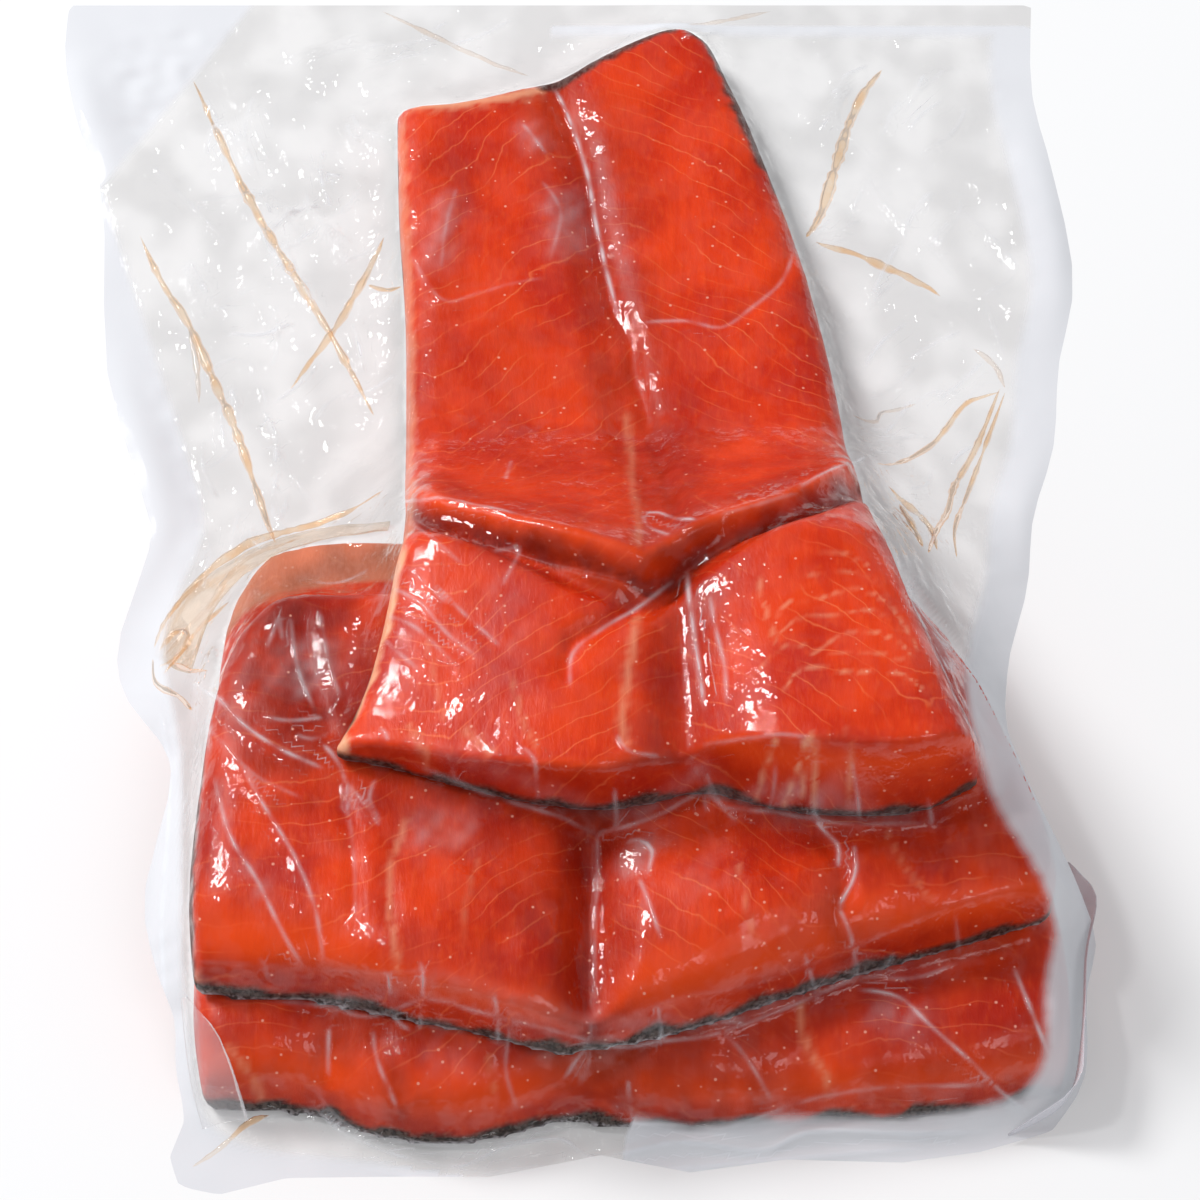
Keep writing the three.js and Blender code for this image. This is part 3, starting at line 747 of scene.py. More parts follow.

# %% [markdown]
# ## Folds of the film
# Where there was more film than fish, it stands up in sharp folds. Each is a line on the plan with
# a half width, a height and how white it looks, which is partly a painted highlight. The height
# goes into the raster. The crest of a fold is sharper than the mesh can show, so each point also
# stores its distance from the crest, and the material draws the sharp edge from that, as a bump
# and as a painted highlight of milky white.

# %% Lines of the folds
UNDER_TAIL = [(-40.6, -68.1), (-28.6, -71), (-19.4, -74.7), (-10.2, -77.9), (0.7, -80.7), (8, -81.6),
              (17.1, -80.7), (26.8, -76.8), (30.2, -78.8), (39.3, -80.7), (46.9, -82), (53.2, -82.9),
              (68.5, -82), (76.4, -76)]
UNDER_MIDDLE = [(-63.7, -111.3), (-55, -110.7), (-41.1, -111.5), (-34.1, -113.8), (-22.5, -114.9),
                (-11.1, -117.8), (0.8, -120.7), (11.2, -120.1), (19, -118.8), (28.7, -117.2),
                (43.1, -111.3), (54.9, -106), (65.1, -105.4), (75, -101.4), (81.5, -99.1),
                (91.8, -97.6)]
FOLDS = [
    # tail portion, upper part
    ([(-2, 113), (1, 106), (5, 91), (7, 77), (9, 65), (12, 49)], 1.1, 0.5, 1.0),
    ([(-32, 72), (-24, 54), (-17, 55), (-9, 58), (-1, 60)], 1.0, 0.2, 0.25),
    ([(15, 48), (25, 48), (32, 46), (38, 51), (45, 60), (48, 76)], 1.1, 0.35, 0.45),
    ([(-24, 62), (-23, 74), (-21, 84)], 1.2, 0.3, 0.3),
    ([(-8, 101), (-3, 93)], 1.1, 0.4, 0.5),
    ([(-4, 86), (0, 77), (-2, 64)], 1.3, 0.3, 0.3),
    ([(-9, 6), (-10, -5)], 1.0, 0.4, 0.4),
    ([(-31, -4), (-27, -15), (-21, -18.5), (-14, -22), (-7, -25.5)], 1.1, 0.5, 0.6),
    ([(45, -17), (51, -9), (56, 1), (60, 13)], 1.1, 0.6, 0.7),
    ([(30, -27), (38, -23), (45, -18)], 1.0, 0.3, 0.3),
    ([(16, -20), (19, -19), (22, -24), (26, -28)], 1.1, 0.7, 0.8),
    ([(16, -21), (17, -27), (21, -31)], 0.9, 0.5, 0.6),
    ([(-31, -12), (-24, -28), (-17, -36)], 0.9, 0.3, 0.35),
    # tail portion, lower part
    ([(24, -36), (24.5, -45), (25.5, -54), (27.0, -69)], 0.9, 0.8, 0.9),
    ([(28.0, -43), (29.2, -52), (30.5, -60), (31.0, -69)], 0.8, 0.7, 0.7),
    ([(-31, -36), (-25, -43), (-20, -50), (-14, -56)], 0.8, 0.35, 0.5),
    ([(-23, -39), (-16, -47), (-10, -54)], 0.8, 0.3, 0.45),
    ([(-32, -42), (-26, -48), (-19, -56)], 0.8, 0.35, 0.45),
    ([(-32, -48), (-25, -57)], 0.8, 0.3, 0.4),
    ([(-28, -34), (-20, -44)], 0.8, 0.3, 0.35),
    ([(-12, -33), (-7, -32), (-10, -41)], 0.9, 0.3, 0.3),
    ([(22, -38), (14, -45), (8, -50), (3, -55), (2.5, -64)], 0.9, 0.5, 0.6),
    ([(26, -75), (34, -77), (40, -78), (46, -79)], 0.8, 0.3, 0.4),
    ([(62, -30), (67, -48), (72, -64), (75, -74)], 0.8, 0.5, 0.55),
    ([(11, -73), (13, -77), (19, -77)], 0.9, 0.4, 0.5),
    ([(-43, -66), (-40, -71), (-38, -76), (-38, -82)], 0.8, 0.7, 0.7),
    ([(-39, -74), (-35, -79), (-32, -84)], 0.8, 0.6, 0.5),
    ([(-33, -74), (-34, -78), (-32, -83)], 0.8, 0.5, 0.45),
    ([(27, -77), (30, -80), (33, -83)], 0.8, 0.6, 0.5),
]
print(len(FOLDS), "folds over the tail portion")

# %% [markdown]
# Over the stack the folds run down the cut faces, and along the front edge the film is rolled and
# wavy. Here the lines could be grease pencil strokes, but numbers are easier to share with the mesh.

# %% Lines of the folds over the stack
FOLDS += [
    # middle portion
    ([(-63, -71), (-59, -86), (-54, -95), (-49, -105), (-45, -110)], 0.9, 0.9, 0.6),
    ([(-58, -70), (-53, -80), (-47, -91), (-43, -102), (-41.5, -110)], 0.9, 0.9, 0.6),
    ([(-70, -38), (-64, -50), (-58, -61), (-51, -67), (-42, -72)], 0.9, 1.3, 0.8),
    ([(-69, -47), (-62, -64), (-55, -73), (-46, -78)], 0.8, 0.7, 0.35),
    ([(-39, -75), (-37, -86), (-36, -98), (-36, -104)], 1.0, 0.3, 0.3),
    ([(-47, -20), (-42, -21), (-36, -19)], 0.9, 0.4, 0.5),
    ([(-50, -37), (-48, -49), (-44.5, -59)], 0.8, 0.5, 0.6),
    ([(-44.5, -36), (-42.5, -47), (-40, -56)], 0.8, 0.4, 0.35),
    ([(-54, -45), (-52, -38), (-51, -43)], 0.9, 0.4, 0.5),
    ([(-54, -60), (-49, -61), (-43, -60)], 0.8, 0.4, 0.55),
    ([(-48, -64), (-45, -65), (-42, -64)], 0.8, 0.4, 0.5),
    ([(12.5, -86.5), (15, -86), (17.5, -89), (16.5, -94)], 1.3, 0.9, 1.0),
    ([(15, -94), (17, -101), (19, -108)], 0.9, 0.4, 0.6),
    ([(46.5, -82), (47.5, -84), (51, -88), (51, -93)], 1.1, 1.5, 0.8),
    ([(54, -88), (54, -94), (51, -100)], 1.0, 1.0, 0.9),
    ([(51, -100), (53, -104), (55, -108)], 0.9, 0.7, 0.6),
    ([(7.5, -82), (7.5, -92), (7, -104), (7, -118)], 0.9, 0.3, 0.35),
    ([(-66, -106), (-56, -109), (-44, -110), (-33, -112.5), (-21, -114)], 0.8, 0.3, 0.12),
    ([(8, -121), (22, -116.5), (34, -113), (52, -106), (69, -100), (86, -94)], 0.8, 0.3, 0.08),
    ([(-30, -113), (-29, -116), (-26, -118)], 0.9, 0.7, 0.6),
    # lower portion
    ([(-41, -116), (-41, -124)], 0.8, 0.5, 0.6),
    ([(-33, -117), (-32, -123), (-28.5, -130)], 0.8, 0.5, 0.45),
    ([(-8, -120), (-9, -124), (-7, -129)], 0.8, 0.4, 0.4),
    ([(83, -104), (87, -116), (89, -120)], 0.7, 0.5, 0.85),
    ([(54, -109), (62, -111), (68, -117), (78, -124), (86, -127)], 0.9, 1.1, 0.65),
    ([(30, -118), (34, -122), (39, -128)], 0.8, 0.5, 0.5),
    ([(1, -125), (6, -122), (11, -121)], 0.9, 0.4, 0.55),
    ([(13, -125), (14, -130)], 0.8, 0.4, 0.5),
    ([(-44, -125), (-38, -130), (-30, -133), (-16, -134), (-4, -131), (6, -127)], 0.8, 0.4, 0.4),
    ([(8, -130), (18, -130), (31, -130.5), (45, -127.5), (60, -126), (80, -124)], 0.8, 0.4, 0.4),
    # the front edge of the pouch, rolled and wavy
    ([(-49, -129), (-44, -127), (-39, -131), (-30, -135), (-21, -137), (-16, -137), (-9, -134), (1, -132),
      (7, -135), (22, -133), (37, -134), (47, -131), (66, -131), (80, -130)], 0.8, 0.8, 0.9),
    ([(-36, -137), (-20, -139.5), (-4, -137), (10, -138), (30, -136.5), (50, -134.5), (70, -133)],
     0.9, 0.5, 0.5),
    ([(-71, -112), (-73, -90), (-73, -60), (-76, -40)], 0.8, 0.5, 0.5),
]
print(len(FOLDS), "folds with those over the stack")

# %% [markdown]
# Beside the tail portion there is no fish under the film. It crinkles in short lines, and where it
# turns towards the light it is milky in patches, partly as painted highlights.

# %% Lines of the folds in the loose film
FOLDS += [
    ([(63, 96), (66, 88), (74, 77), (80, 68)], 1.6, 0.5, 0.25),
    ([(82, 86), (91, 74), (92, 68), (85, 63)], 1.0, 0.8, 0.4),
    ([(86, 62), (89, 48), (88, 44)], 0.9, 0.5, 0.4),
    ([(71, 36), (75, 39), (80, 38)], 0.9, 0.5, 0.5),
    ([(68, 9), (72, 12), (74, 20)], 0.9, 0.5, 0.5),
    ([(46, 120), (57, 109), (66, 98)], 2.5, 0.5, 0.1),
    ([(-85, 98), (-79, 91), (-68, 77)], 1.1, 0.6, 0.4),
    ([(-77, 72), (-72, 64), (-66, 58)], 1.0, 0.5, 0.4),
    ([(-69, 62), (-60, 66), (-50, 67)], 1.0, 0.4, 0.3),
    ([(-50, 76), (-45, 85), (-40, 93)], 1.0, 0.5, 0.35),
    ([(-63, 48), (-59, 38), (-56, 25), (-47, 6)], 0.9, 0.5, 0.35),
    ([(-70, 19), (-66, 23), (-63, 27)], 0.9, 0.4, 0.4),
    ([(-69, -12), (-68, -2), (-70, 5)], 0.9, 0.6, 0.5),
    ([(-64, -2), (-63, 10)], 0.9, 0.4, 0.35),
    ([(61, 26), (64, 27.5), (66, 22), (63, 17), (61, 20)], 1.0, 0.7, 0.5),
    ([(65, 3), (69, 0), (72, -6)], 1.0, 0.9, 0.6),
    ([(67, 6), (70, 2), (71, -8)], 0.9, 0.8, 0.5),
]

# Patches of milky film and painted highlight where the film catches the light softly:
# line, half width, how white.
HAZE_AND_HIGHLIGHTS = [
    (UNDER_TAIL, 1.5, 0.10),
    (UNDER_MIDDLE, 1.5, 0.08),
    ([(-3, 86), (1, 76), (0, 62)], 4.0, 0.16),
    ([(-26, 58), (-24, 72), (-22, 86)], 3.4, 0.13),
    ([(-9, 103), (-3, 92)], 3.0, 0.13),
    ([(3, 108), (8, 92), (10, 78), (13, 62), (16, 46)], 1.6, 0.08),
    ([(-28, -30), (-22, -48), (-34, -64)], 7.0, 0.03),
    ([(-14, -30), (-8, -50), (-12, -70)], 5.0, 0.05),
    ([(-45, -40), (-47, -58)], 6.0, 0.14),
    ([(-56, -44), (-60, -70)], 5.0, 0.04),
    ([(-30, -86), (-12, -84)], 5.0, 0.10),
    ([(13, -86), (18, -92)], 5.0, 0.16),
    ([(64, -18), (71, -42), (76, -62)], 3.2, 0.32),
    ([(34, -80), (60, -82)], 3.5, 0.10),
    ([(-58, -88), (-50, -102)], 2.2, 0.08),
    ([(22, -90), (30, -100)], 6.0, 0.05),
    ([(54, -112), (70, -118)], 4.0, 0.10),
    ([(-26, -122), (-12, -124)], 4.0, 0.06),
]
print(len(FOLDS), "folds placed by hand, and", len(HAZE_AND_HIGHLIGHTS), "milky patches")

# %% [markdown]
# The finest crinkles are too many to place by hand, so dice throw them: along the step under each
# lip, and in patches of the loose film. The dice have a seed, so every run throws the same ones.

# %% Throw the small crinkles
dice = np.random.default_rng(12)


def crinkle(x, y, turn, half, bend, *ranges):
    """A short fold round a place. Its half width, height and whiteness, which is partly a painted
    highlight, are drawn from ranges.
    """
    dx, dy = half * math.cos(turn), half * math.sin(turn)
    FOLDS.append(([(x - dx, y - dy), (x + bend[0], y + bend[1]), (x + dx, y + dy)],
                  *(dice.uniform(*limits) for limits in ranges)))


# Fine puckers where the film spans the step under each lip.
for corners in (UNDER_TAIL, UNDER_MIDDLE):
    for spot in smooth_line(corners)[6:-6:9]:
        x, y = spot + dice.normal(0, 1.0, 2)
        turn = math.radians(90 + dice.normal(0, 35))
        half = dice.uniform(1.2, 3.2)
        bend = (0.3 * (half * math.sin(turn)), 0)
        crinkle(x, y, turn, half, bend, (0.5, 0.9), (0.2, 0.6), (0.2, 0.7))
    FOLDS.append(([(x, y - 1.4) for x, y in corners[1:-1]], 0.55, 0.35, 0.42))
# Small crinkles in the loose film: middle and half size of a patch, their heading in degrees, count.
CRINKLED = [
    ((-58, 82), (20, 34), 112, 26),
    ((-62, 20), (9, 26), 100, 12),
    ((66, 96), (14, 26), 62, 18),
    ((74, 42), (9, 22), 40, 10),
    ((0, 128), (60, 6), 20, 10),
    ((-52, 60), (16, 30), 35, 10),
]
for spot, spread, heading, count in CRINKLED:
    for _ in range(count):
        x, y = dice.uniform(-1, 1, 2) * spread + spot
        turn = math.radians(heading + dice.normal(0, 16))
        half = dice.uniform(3, 9)
        bow = dice.uniform(-0.25, 0.25) * half
        bend = (-bow * math.sin(turn), bow * math.cos(turn))
        crinkle(x, y, turn, half, bend, (0.5, 1.3), (0.6, 1.8), (0.25, 1.0))
print(len(FOLDS), "folds in all")


# %% [markdown]
# A fold's line is a place on the plan, but the rays lean, so a line high on the fish lies elsewhere
# on the raster. Each line is first moved to where the rays meet it, and then raised.

# %% Raise the folds
def sample(field, x, y):
    """The field between the points of the raster."""
    u = clamp((x - LOW[0]) / PITCH, 0, field.shape[0] - 1.001)
    v = clamp((y - LOW[1]) / PITCH, 0, field.shape[1] - 1.001)
    i, j = u.astype(int), v.astype(int)
    fu, fv = u - i, v - j
    return ((field[i, j] * (1 - fu) + field[i + 1, j] * fu) * (1 - fv)
            + (field[i, j + 1] * (1 - fu) + field[i + 1, j + 1] * fu) * fv)


def lift_line(field, corners):
    """Moves a line from its place on the plan to where the leaning rays meet it."""
    line = np.array(corners, dtype=float)
    base = line.copy()
    for _ in range(12):
        height = sample(field, base[:, 0], base[:, 1])
        base[:, 1] = line[:, 1] + LEAN * height
    return base


smooth_height = film_height.copy()
flat_raster = np.stack([grid_x.ravel(), grid_y.ravel()], axis=1)
for corners, width, height, white in FOLDS:
    number, distance, along = beside(flat_raster, lift_line(film_height, corners), 3 * width)
    film_height.flat[number] += height * bump(distance, width) * taper(along)
print("folds raise the film by", round(float((film_height - smooth_height).max()), 1), "mm at most")

# %% [markdown]
# ## The mesh of the film
# The film starts as a flat grid. Its edge follows the outline of the pouch, which is felt with
# rays from above in every direction from the middle. Inside, the rows of the grid are blended from
# the four sides.

# %% Feel the outline of the pouch
def inside_pouch(x, y):
    """Whether a ray from above meets the pouch here."""
    return pouch_tree.ray_cast(Vector((x * MM, y * MM, TOP * MM)), Vector((0, 0, -1)))[0] is not None


def feel_outline(count=720):
    """The outline of the pouch, with the edge in each direction found by halving the gap."""
    outline = []
    for turn in np.linspace(0, math.tau, count, endpoint=False):
        near, far = 60.0, 190.0
        for _ in range(14):
            half = 0.5 * (near + far)
            if inside_pouch(half * math.cos(turn), half * math.sin(turn)):
                near = half
            else:
                far = half
        outline.append((near * math.cos(turn), near * math.sin(turn)))
    return np.array(outline)


outline = feel_outline()
CORNERS = {"near_left": (-69, -140), "near_right": (91, -128),
           "far_right": (99, 142), "far_left": (-104, 142)}


def side_of_outline(start, end, samples=400):
    """The outline from one corner to the next, walked against the clock, at even steps."""
    first, last = [int(((outline - CORNERS[c]) ** 2).sum(1).argmin()) for c in (start, end)]
    if last <= first:
        last += len(outline)
    walk = outline[np.arange(first, last + 1) % len(outline)]
    length = np.concatenate([[0], np.cumsum(np.linalg.norm(np.diff(walk, axis=0), axis=1))])
    even = np.linspace(0, length[-1], samples)
    return np.stack([np.interp(even, length, walk[:, k]) for k in (0, 1)], axis=1)


near_side = side_of_outline("near_left", "near_right")
right_side = side_of_outline("near_right", "far_right")
far_side = side_of_outline("far_right", "far_left")[::-1]
left_side = side_of_outline("far_left", "near_left")[::-1]


def at_share(share, values):
    """A row of values read at a share of its length, from 0 to 1."""
    return np.interp(share, np.linspace(0, 1, len(values)), values)


def along_side(side, share):
    return np.stack([at_share(share, side[:, k]) for k in (0, 1)], axis=-1)


def within(s, t):
    """A place inside the outline: s runs from left to right, t from the near to the far end."""
    l, r = along_side(left_side, t), along_side(right_side, t)
    n, f = along_side(near_side, s), along_side(far_side, s)
    nl, nr, fl, fr = near_side[0], near_side[-1], far_side[0], far_side[-1]
    s, t = s[:, None], t[:, None]
    return l * (1 - s) + r * s + n * (1 - t) + f * t - (
        (nl * (1 - s) + nr * s) * (1 - t) + (fl * (1 - s) + fr * s) * t)


print("outline felt:", outline.min(0).round(0), outline.max(0).round(0))


# %% [markdown]
# The heights are read off the raster at each point of the grid, and the point is moved along its
# leaning ray. The grid also gets the numbers that its material reads: how near a crest is and how
# strong its painted highlight, how milky the film is, partly as painted highlights, whether it is
# sealed flange, and whether there is fish right under it.

# %% Make the film
def flat_grid(name, columns, rows):
    """A grid, with each point's place across it and along it, from 0 to 1."""
    bpy.ops.object.select_all(action="DESELECT")
    bpy.ops.mesh.primitive_grid_add(x_subdivisions=columns, y_subdivisions=rows, size=1)
    made = bpy.context.object
    made.name = name
    flat = points_of(made) * MM + 0.5
    return made, clamp(flat[:, 0]), clamp(flat[:, 1])


film, s, t = flat_grid("film", 232, 316)
plan = within(s, t)
base_x, base_y = plan.T
height = sample(film_height, base_x, base_y)
p = np.stack([base_x, base_y - LEAN * height, height], axis=1)
move_points(film, p)
bpy.ops.object.shade_smooth()

# a fold's whiteness is a painted highlight of milky white along its crest, and sets its bump
crest_highlight = np.zeros(len(p))
across = np.full(len(p), 9.0)
for corners, _, _, white in FOLDS:
    number, distance, along = beside(plan, lift_line(smooth_height, corners), 3.0)
    broken = clamp(0.72 + 0.62 * wobble(base_x[number], base_y[number], 5.0, 91), 0.12, 1.2)
    amount = white * broken * taper(along, 0.1) * ramp(3.0, 1.6, np.abs(distance))
    closer = np.abs(distance) < np.abs(across[number])
    chosen = number[closer]
    across[chosen] = distance[closer]
    crest_highlight[chosen] = amount[closer]
paint(film, "crest_highlight", crest_highlight)
paint(film, "across", across)
haze_and_highlight = np.zeros(len(p))
for corners, width, amount in HAZE_AND_HIGHLIGHTS:
    number, distance, along = beside(plan, lift_line(smooth_height, corners), 2.5 * width)
    patchy = 0.75 + 0.5 * wobble(base_x[number], base_y[number], 4.0, 90, 14)
    haze_and_highlight[number] += amount * bump(distance, width) * taper(along, 0.3) * patchy
paint(film, "haze_and_highlight", clamp(haze_and_highlight))

# The flange is wide on the left, up to a slanting seam, and 7 to 10 mm wide on the right.
edge_gap = np.full(len(p), 60.0)
for edge_x, edge_y in outline[::2]:
    edge_gap = np.minimum(edge_gap, np.hypot(base_x - edge_x, base_y - edge_y))
SEAM_LEFT = [(-65, 143), (-93, 94), (-94, 91), (-88, 70), (-82, 50), (-74, 24), (-70, 5), (-76, -20),
             (-71, -50), (-69, -80), (-67, -110), (-60, -130), (-30, -136)]
number, distance, _ = beside(plan, SEAM_LEFT, 45)
flange = np.zeros(len(p))
flange[number] = ramp(1.2, -1.2, distance) * (s[number] < 0.45)
flange = np.maximum(flange, ramp(10, 7, edge_gap) * (s > 0.5) * (t < 0.98))
paint(film, "flange", clamp(flange))
paint(film, "loose", clamp(1 - ramp(-40, 0.5, sample(fish_height, base_x, base_y))))
print("film:", len(film.data.polygons), "quads")


# %% [markdown]
# Film could be glass that bends light, but at this thickness nothing bends, and glass is slow and
# noisy. So the film is transparent with a Fresnel reflection over it, and a share of white diffuse
# where it is milky and where highlights are painted along crests and in hazy patches. A bump puts
# the fine cling and the sharp crests into its reflections.

# %% The material of the film
CREST_SHARP = -5.0               # a crest fades to about a third in 0.45 mm


def make_film(name, tint, pale_tint, milk_colour, gloss=0.06):
    """Clear glossy film. The sealed flange is milky, and folds and hazy patches are milky white
    that is partly a painted highlight.
    """
    g = Graph(name)
    off = g.value("across")
    sharp = g.math("EXPONENT", g.times(g.times(off, off), CREST_SHARP))
    crest_here = g.times(g.value("crest_highlight"), sharp)
    loose, flange = g.value("loose"), g.value("flange")
    cling = g.noise(g.place(3.0, 4.0, 3.2), 2.0, 0.6)
    crinkle = g.noise(g.place(5, 7.5, 5), 2.0, 0.6)
    crinkle = g.math("ABSOLUTE", g.math("SUBTRACT", crinkle, 0.5))
    free = g.times(loose, g.math("SUBTRACT", 1.0, flange))
    cling = g.times(cling, g.math("SUBTRACT", 0.40, g.times(flange, 0.36)))
    height = g.plus(g.times(crest_here, 0.45), cling)
    height = g.plus(height, g.times(g.times(free, crinkle), 1.8))
    normal = g.add("Bump", ("Strength", 1.0), ("Distance", MM), ("Height", height))
    shiny = g.shiny(gloss, normal=normal)
    # where the film is loose it is greyer, in soft patches: its own tint, and painted shadow in
    # place of the shadow that the film doesn't cast
    mottle = g.between(g.noise(g.place(13, 16, 13), 1.0), 0.35, 0.65)
    seen = g.mix(loose, rgb(1, 1, 1), g.mix(mottle, tint, pale_tint))
    clear = g.add("BsdfTransparent", ("Color", seen))
    # where it clings wetly to the fish, only patches of it reflect
    cover = g.between(g.noise(g.place(6, 8, 6), 2.0, 0.7), 0.42, 0.60, 0.15, 1.0)
    fresnel = g.add("Fresnel", ("IOR", 1.42), ("Normal", normal))
    sheen = g.times(fresnel, g.math("MAXIMUM", cover, crest_here))
    body = g.blend(sheen, clear, shiny)
    milk = g.add("BsdfDiffuse", ("Color", milk_colour))
    # milky white: the frosted flange, and painted highlights along the crests and in hazy patches
    share = g.plus(g.times(flange, 0.85), g.times(crest_here, 0.46))
    share = g.plus(share, g.value("haze_and_highlight"))
    return g.finish(g.blend(g.math("MINIMUM", share, 1.0), body, milk))


film.data.materials.append(
    make_film("film", rgb(0.77, 0.76, 0.755), rgb(0.89, 0.88, 0.875), rgb(0.76, 0.77, 0.805)))
print("the film's material has", len(film.active_material.node_tree.nodes), "nodes")

# %% [markdown]
# ## The film under the fish
# Beside the fish the two films are pressed together and count as one sheet. Under the fish the lower
# film lies flat on the table: a grid over the footprint of the fish.

# %% Lay the lower film
FILM = 0.1                       # thickness
lower_film, across_it, along_it = flat_grid("lower_film", 60, 84)
y = -122 + 212 * along_it
left = -58 + 33 * ramp(-50, 0, y)
right = 80 - 32 * ramp(-80, 0, y) - 26 * ramp(20, 90, y)
flat = np.full(len(y), 1.2 * FILM)
move_points(lower_film, np.stack([left + (right - left) * across_it, y, flat], axis=1))
modify(lower_film, "SOLIDIFY", thickness=FILM * MM, offset=-1)
bpy.ops.object.shade_smooth()


def make_clear(name, tint, milk_colour, milky):
    """Smooth clear film, with a share of milky white."""
    g = Graph(name)
    shiny = g.shiny(0.1)
    clear = g.add("BsdfTransparent", ("Color", tint))
    sheen = g.times(g.add("Fresnel", ("IOR", 1.4)), 0.6)
    body = g.blend(sheen, clear, shiny)
    milk = g.add("BsdfDiffuse", ("Color", milk_colour))
    return g.finish(g.blend(milky, body, milk))


lower_film.data.materials.append(
    make_clear("lower film", rgb(0.985, 0.985, 0.985), rgb(0.8, 0.8, 0.84), 0.02))
print("lower film:", round(float(y.max() - y.min())), "mm long")

# %% [markdown]
# ## Juice in the folds
# Beside the fish the two films are pressed together, apart from thin channels that hold amber
# juice. A curve with a bevel would give a tube. A channel is flatter than that and uneven, so it is
# a UV sphere whose rings are moved onto a line, which also closes both ends and tapers them.

# %% Run the channels
# Line, width, and 1 for amber or 0 for pale juice.
CHANNELS = [
    ([(-77, 121), (-64, 88.5), (-48, 57), (-41, 42), (-37, 32)], 2.0, 1),
    ([(-36, 77), (-45, 56), (-54, 40)], 1.9, 1),
    ([(-39, 66), (-35, 63.5), (-32, 62)], 1.2, 1),
    ([(-86, 79), (-81, 67), (-75, 56), (-69, 41), (-64, 28), (-59, 12), (-55, -3)], 2.2, 1),
    ([(-75, 55), (-73, 46), (-72, 36)], 1.4, 0),
    ([(67, 124), (61, 113), (57, 99), (53, 84), (50, 77)], 3.0, 1),
    ([(52, 77), (60, 74), (69, 69), (77, 64)], 1.9, 1),
    ([(88, 39), (81, 36), (75, 27), (68, 18), (62, 12)], 1.3, 1),
    ([(88, 40), (83, 26), (78, 15), (76, 6), (73, -3), (71, -12)], 1.7, 1),
    ([(89, 39), (84, 24), (79.5, 10), (77, 0), (77, -8)], 1.3, 1),
    ([(58, 29), (63, 30), (64, 33), (71, 36)], 1.3, 0),
    ([(83, 50), (87, 46), (89, 40)], 1.5, 0),
    ([(-38, 140), (-22, 130), (-7, 121)], 1.3, 0),
    ([(26, 134), (34, 137), (44, 140)], 1.4, 0),
    ([(-78, -25), (-76, -18), (-71, -10), (-67, -6), (-57, 0), (-45, 3), (-34, 4)], 1.8, 1),
    ([(-77, -29), (-73, -24), (-67, -17), (-62, -8), (-50, -3)], 1.3, 0),
    ([(-77, -26), (-74, -22), (-71, -24), (-73, -29), (-77, -30)], 1.3, 1),
    ([(-76, -33), (-72, -28), (-68, -23), (-63, -20)], 1.2, 1),
    ([(-78, -27), (-77, -34), (-72, -40), (-69, -46)], 1.5, 1),
    ([(-74, -30), (-70, -35), (-66, -40)], 1.3, 1),
    ([(-66, -137), (-62, -134), (-57, -130), (-52, -128)], 1.8, 1),
    ([(64, 6), (68, 3), (72, -2), (73, -9)], 1.5, 1),
    ([(66, 2), (68, -4), (70, -11)], 1.3, 1),
]


def channel(name, corners, width):
    """A low, uneven string of juice along a line. Its underside stays in the film."""
    route = smooth_line(corners)
    rings = max(12, int(len(route) * 1.2))
    bpy.ops.object.select_all(action="DESELECT")
    bpy.ops.mesh.primitive_uv_sphere_add(segments=10, ring_count=rings, radius=1)
    made = bpy.context.object
    made.name = name
    unit = points_of(made) * MM
    polar = np.arccos(clamp(unit[:, 2], -1, 1)) / math.pi
    turn = np.arctan2(unit[:, 1], unit[:, 0])
    x, y = at_share(polar, route[:, 0]), at_share(polar, route[:, 1])
    base = lift_line(smooth_height, np.stack([x, y], axis=1))
    z = sample(smooth_height, base[:, 0], base[:, 1]) - 0.1
    heading = np.stack([np.gradient(route[:, 0]), np.gradient(route[:, 1])], axis=1)
    heading /= np.linalg.norm(heading, axis=1)[:, None]
    hx, hy = at_share(polar, heading[:, 0]), at_share(polar, heading[:, 1])
    uneven = 1 + 0.35 * wobble(12 * polar + x, y, 9.0, 5) + 0.25 * wobble(x, y, 3.0, 6)
    half = 0.42 * width * clamp(uneven, 0.4, 1.6) * np.sqrt(np.sin(math.pi * polar))
    off = half * np.cos(turn)
    rise = half * 1.1 * np.maximum(np.sin(turn), -0.12)
    move_points(made, np.stack([x - hy * off, y + hx * off, z + rise], axis=1))
    bpy.ops.object.shade_smooth()
    return made


def make_juice(name, thin, thick, share):
    """Clear in the middle and amber towards its rims, where the eye looks through more juice."""
    g = Graph(name)
    rim = g.add("LayerWeight", ("Blend", 0.35), out=1)
    shiny = g.shiny(0.06)
    uneven = g.between(g.noise(g.place(6, 6, 6)), 0.35, 0.65)
    depth = g.math("MAXIMUM", rim, g.times(uneven, 0.35))
    clear = g.add("BsdfTransparent", ("Color", g.mix(g.times(depth, share), thin, thick)))
    sheen = g.times(g.add("Fresnel", ("IOR", 1.35)), 0.5)
    return g.finish(g.blend(sheen, clear, shiny))


amber = make_juice("amber juice", rgb(1.0, 0.95, 0.88), rgb(1.0, 0.62, 0.28), 1.0)
pale = make_juice("pale juice", rgb(0.99, 0.97, 0.95), rgb(0.96, 0.82, 0.70), 0.9)
channels = []
for count, (corners, width, strong) in enumerate(CHANNELS, 1):
    made = channel(f"channel_{count:02d}", corners, width)
    made.data.materials.append(amber if strong else pale)
    channels.append(made)
print(len(channels), "channels of juice")

# %% [markdown]
# ## Bands of film that stand free
# At a few places the film stands away from the fish as a band: the arc behind the stack, the flap
# folded over its near left corner, and the free edge at the near right, which curls up. A band is a
# narrow grid between two lines in space, thickened a little.

# %% Stretch the bands
BAND = 0.15                      # thickness


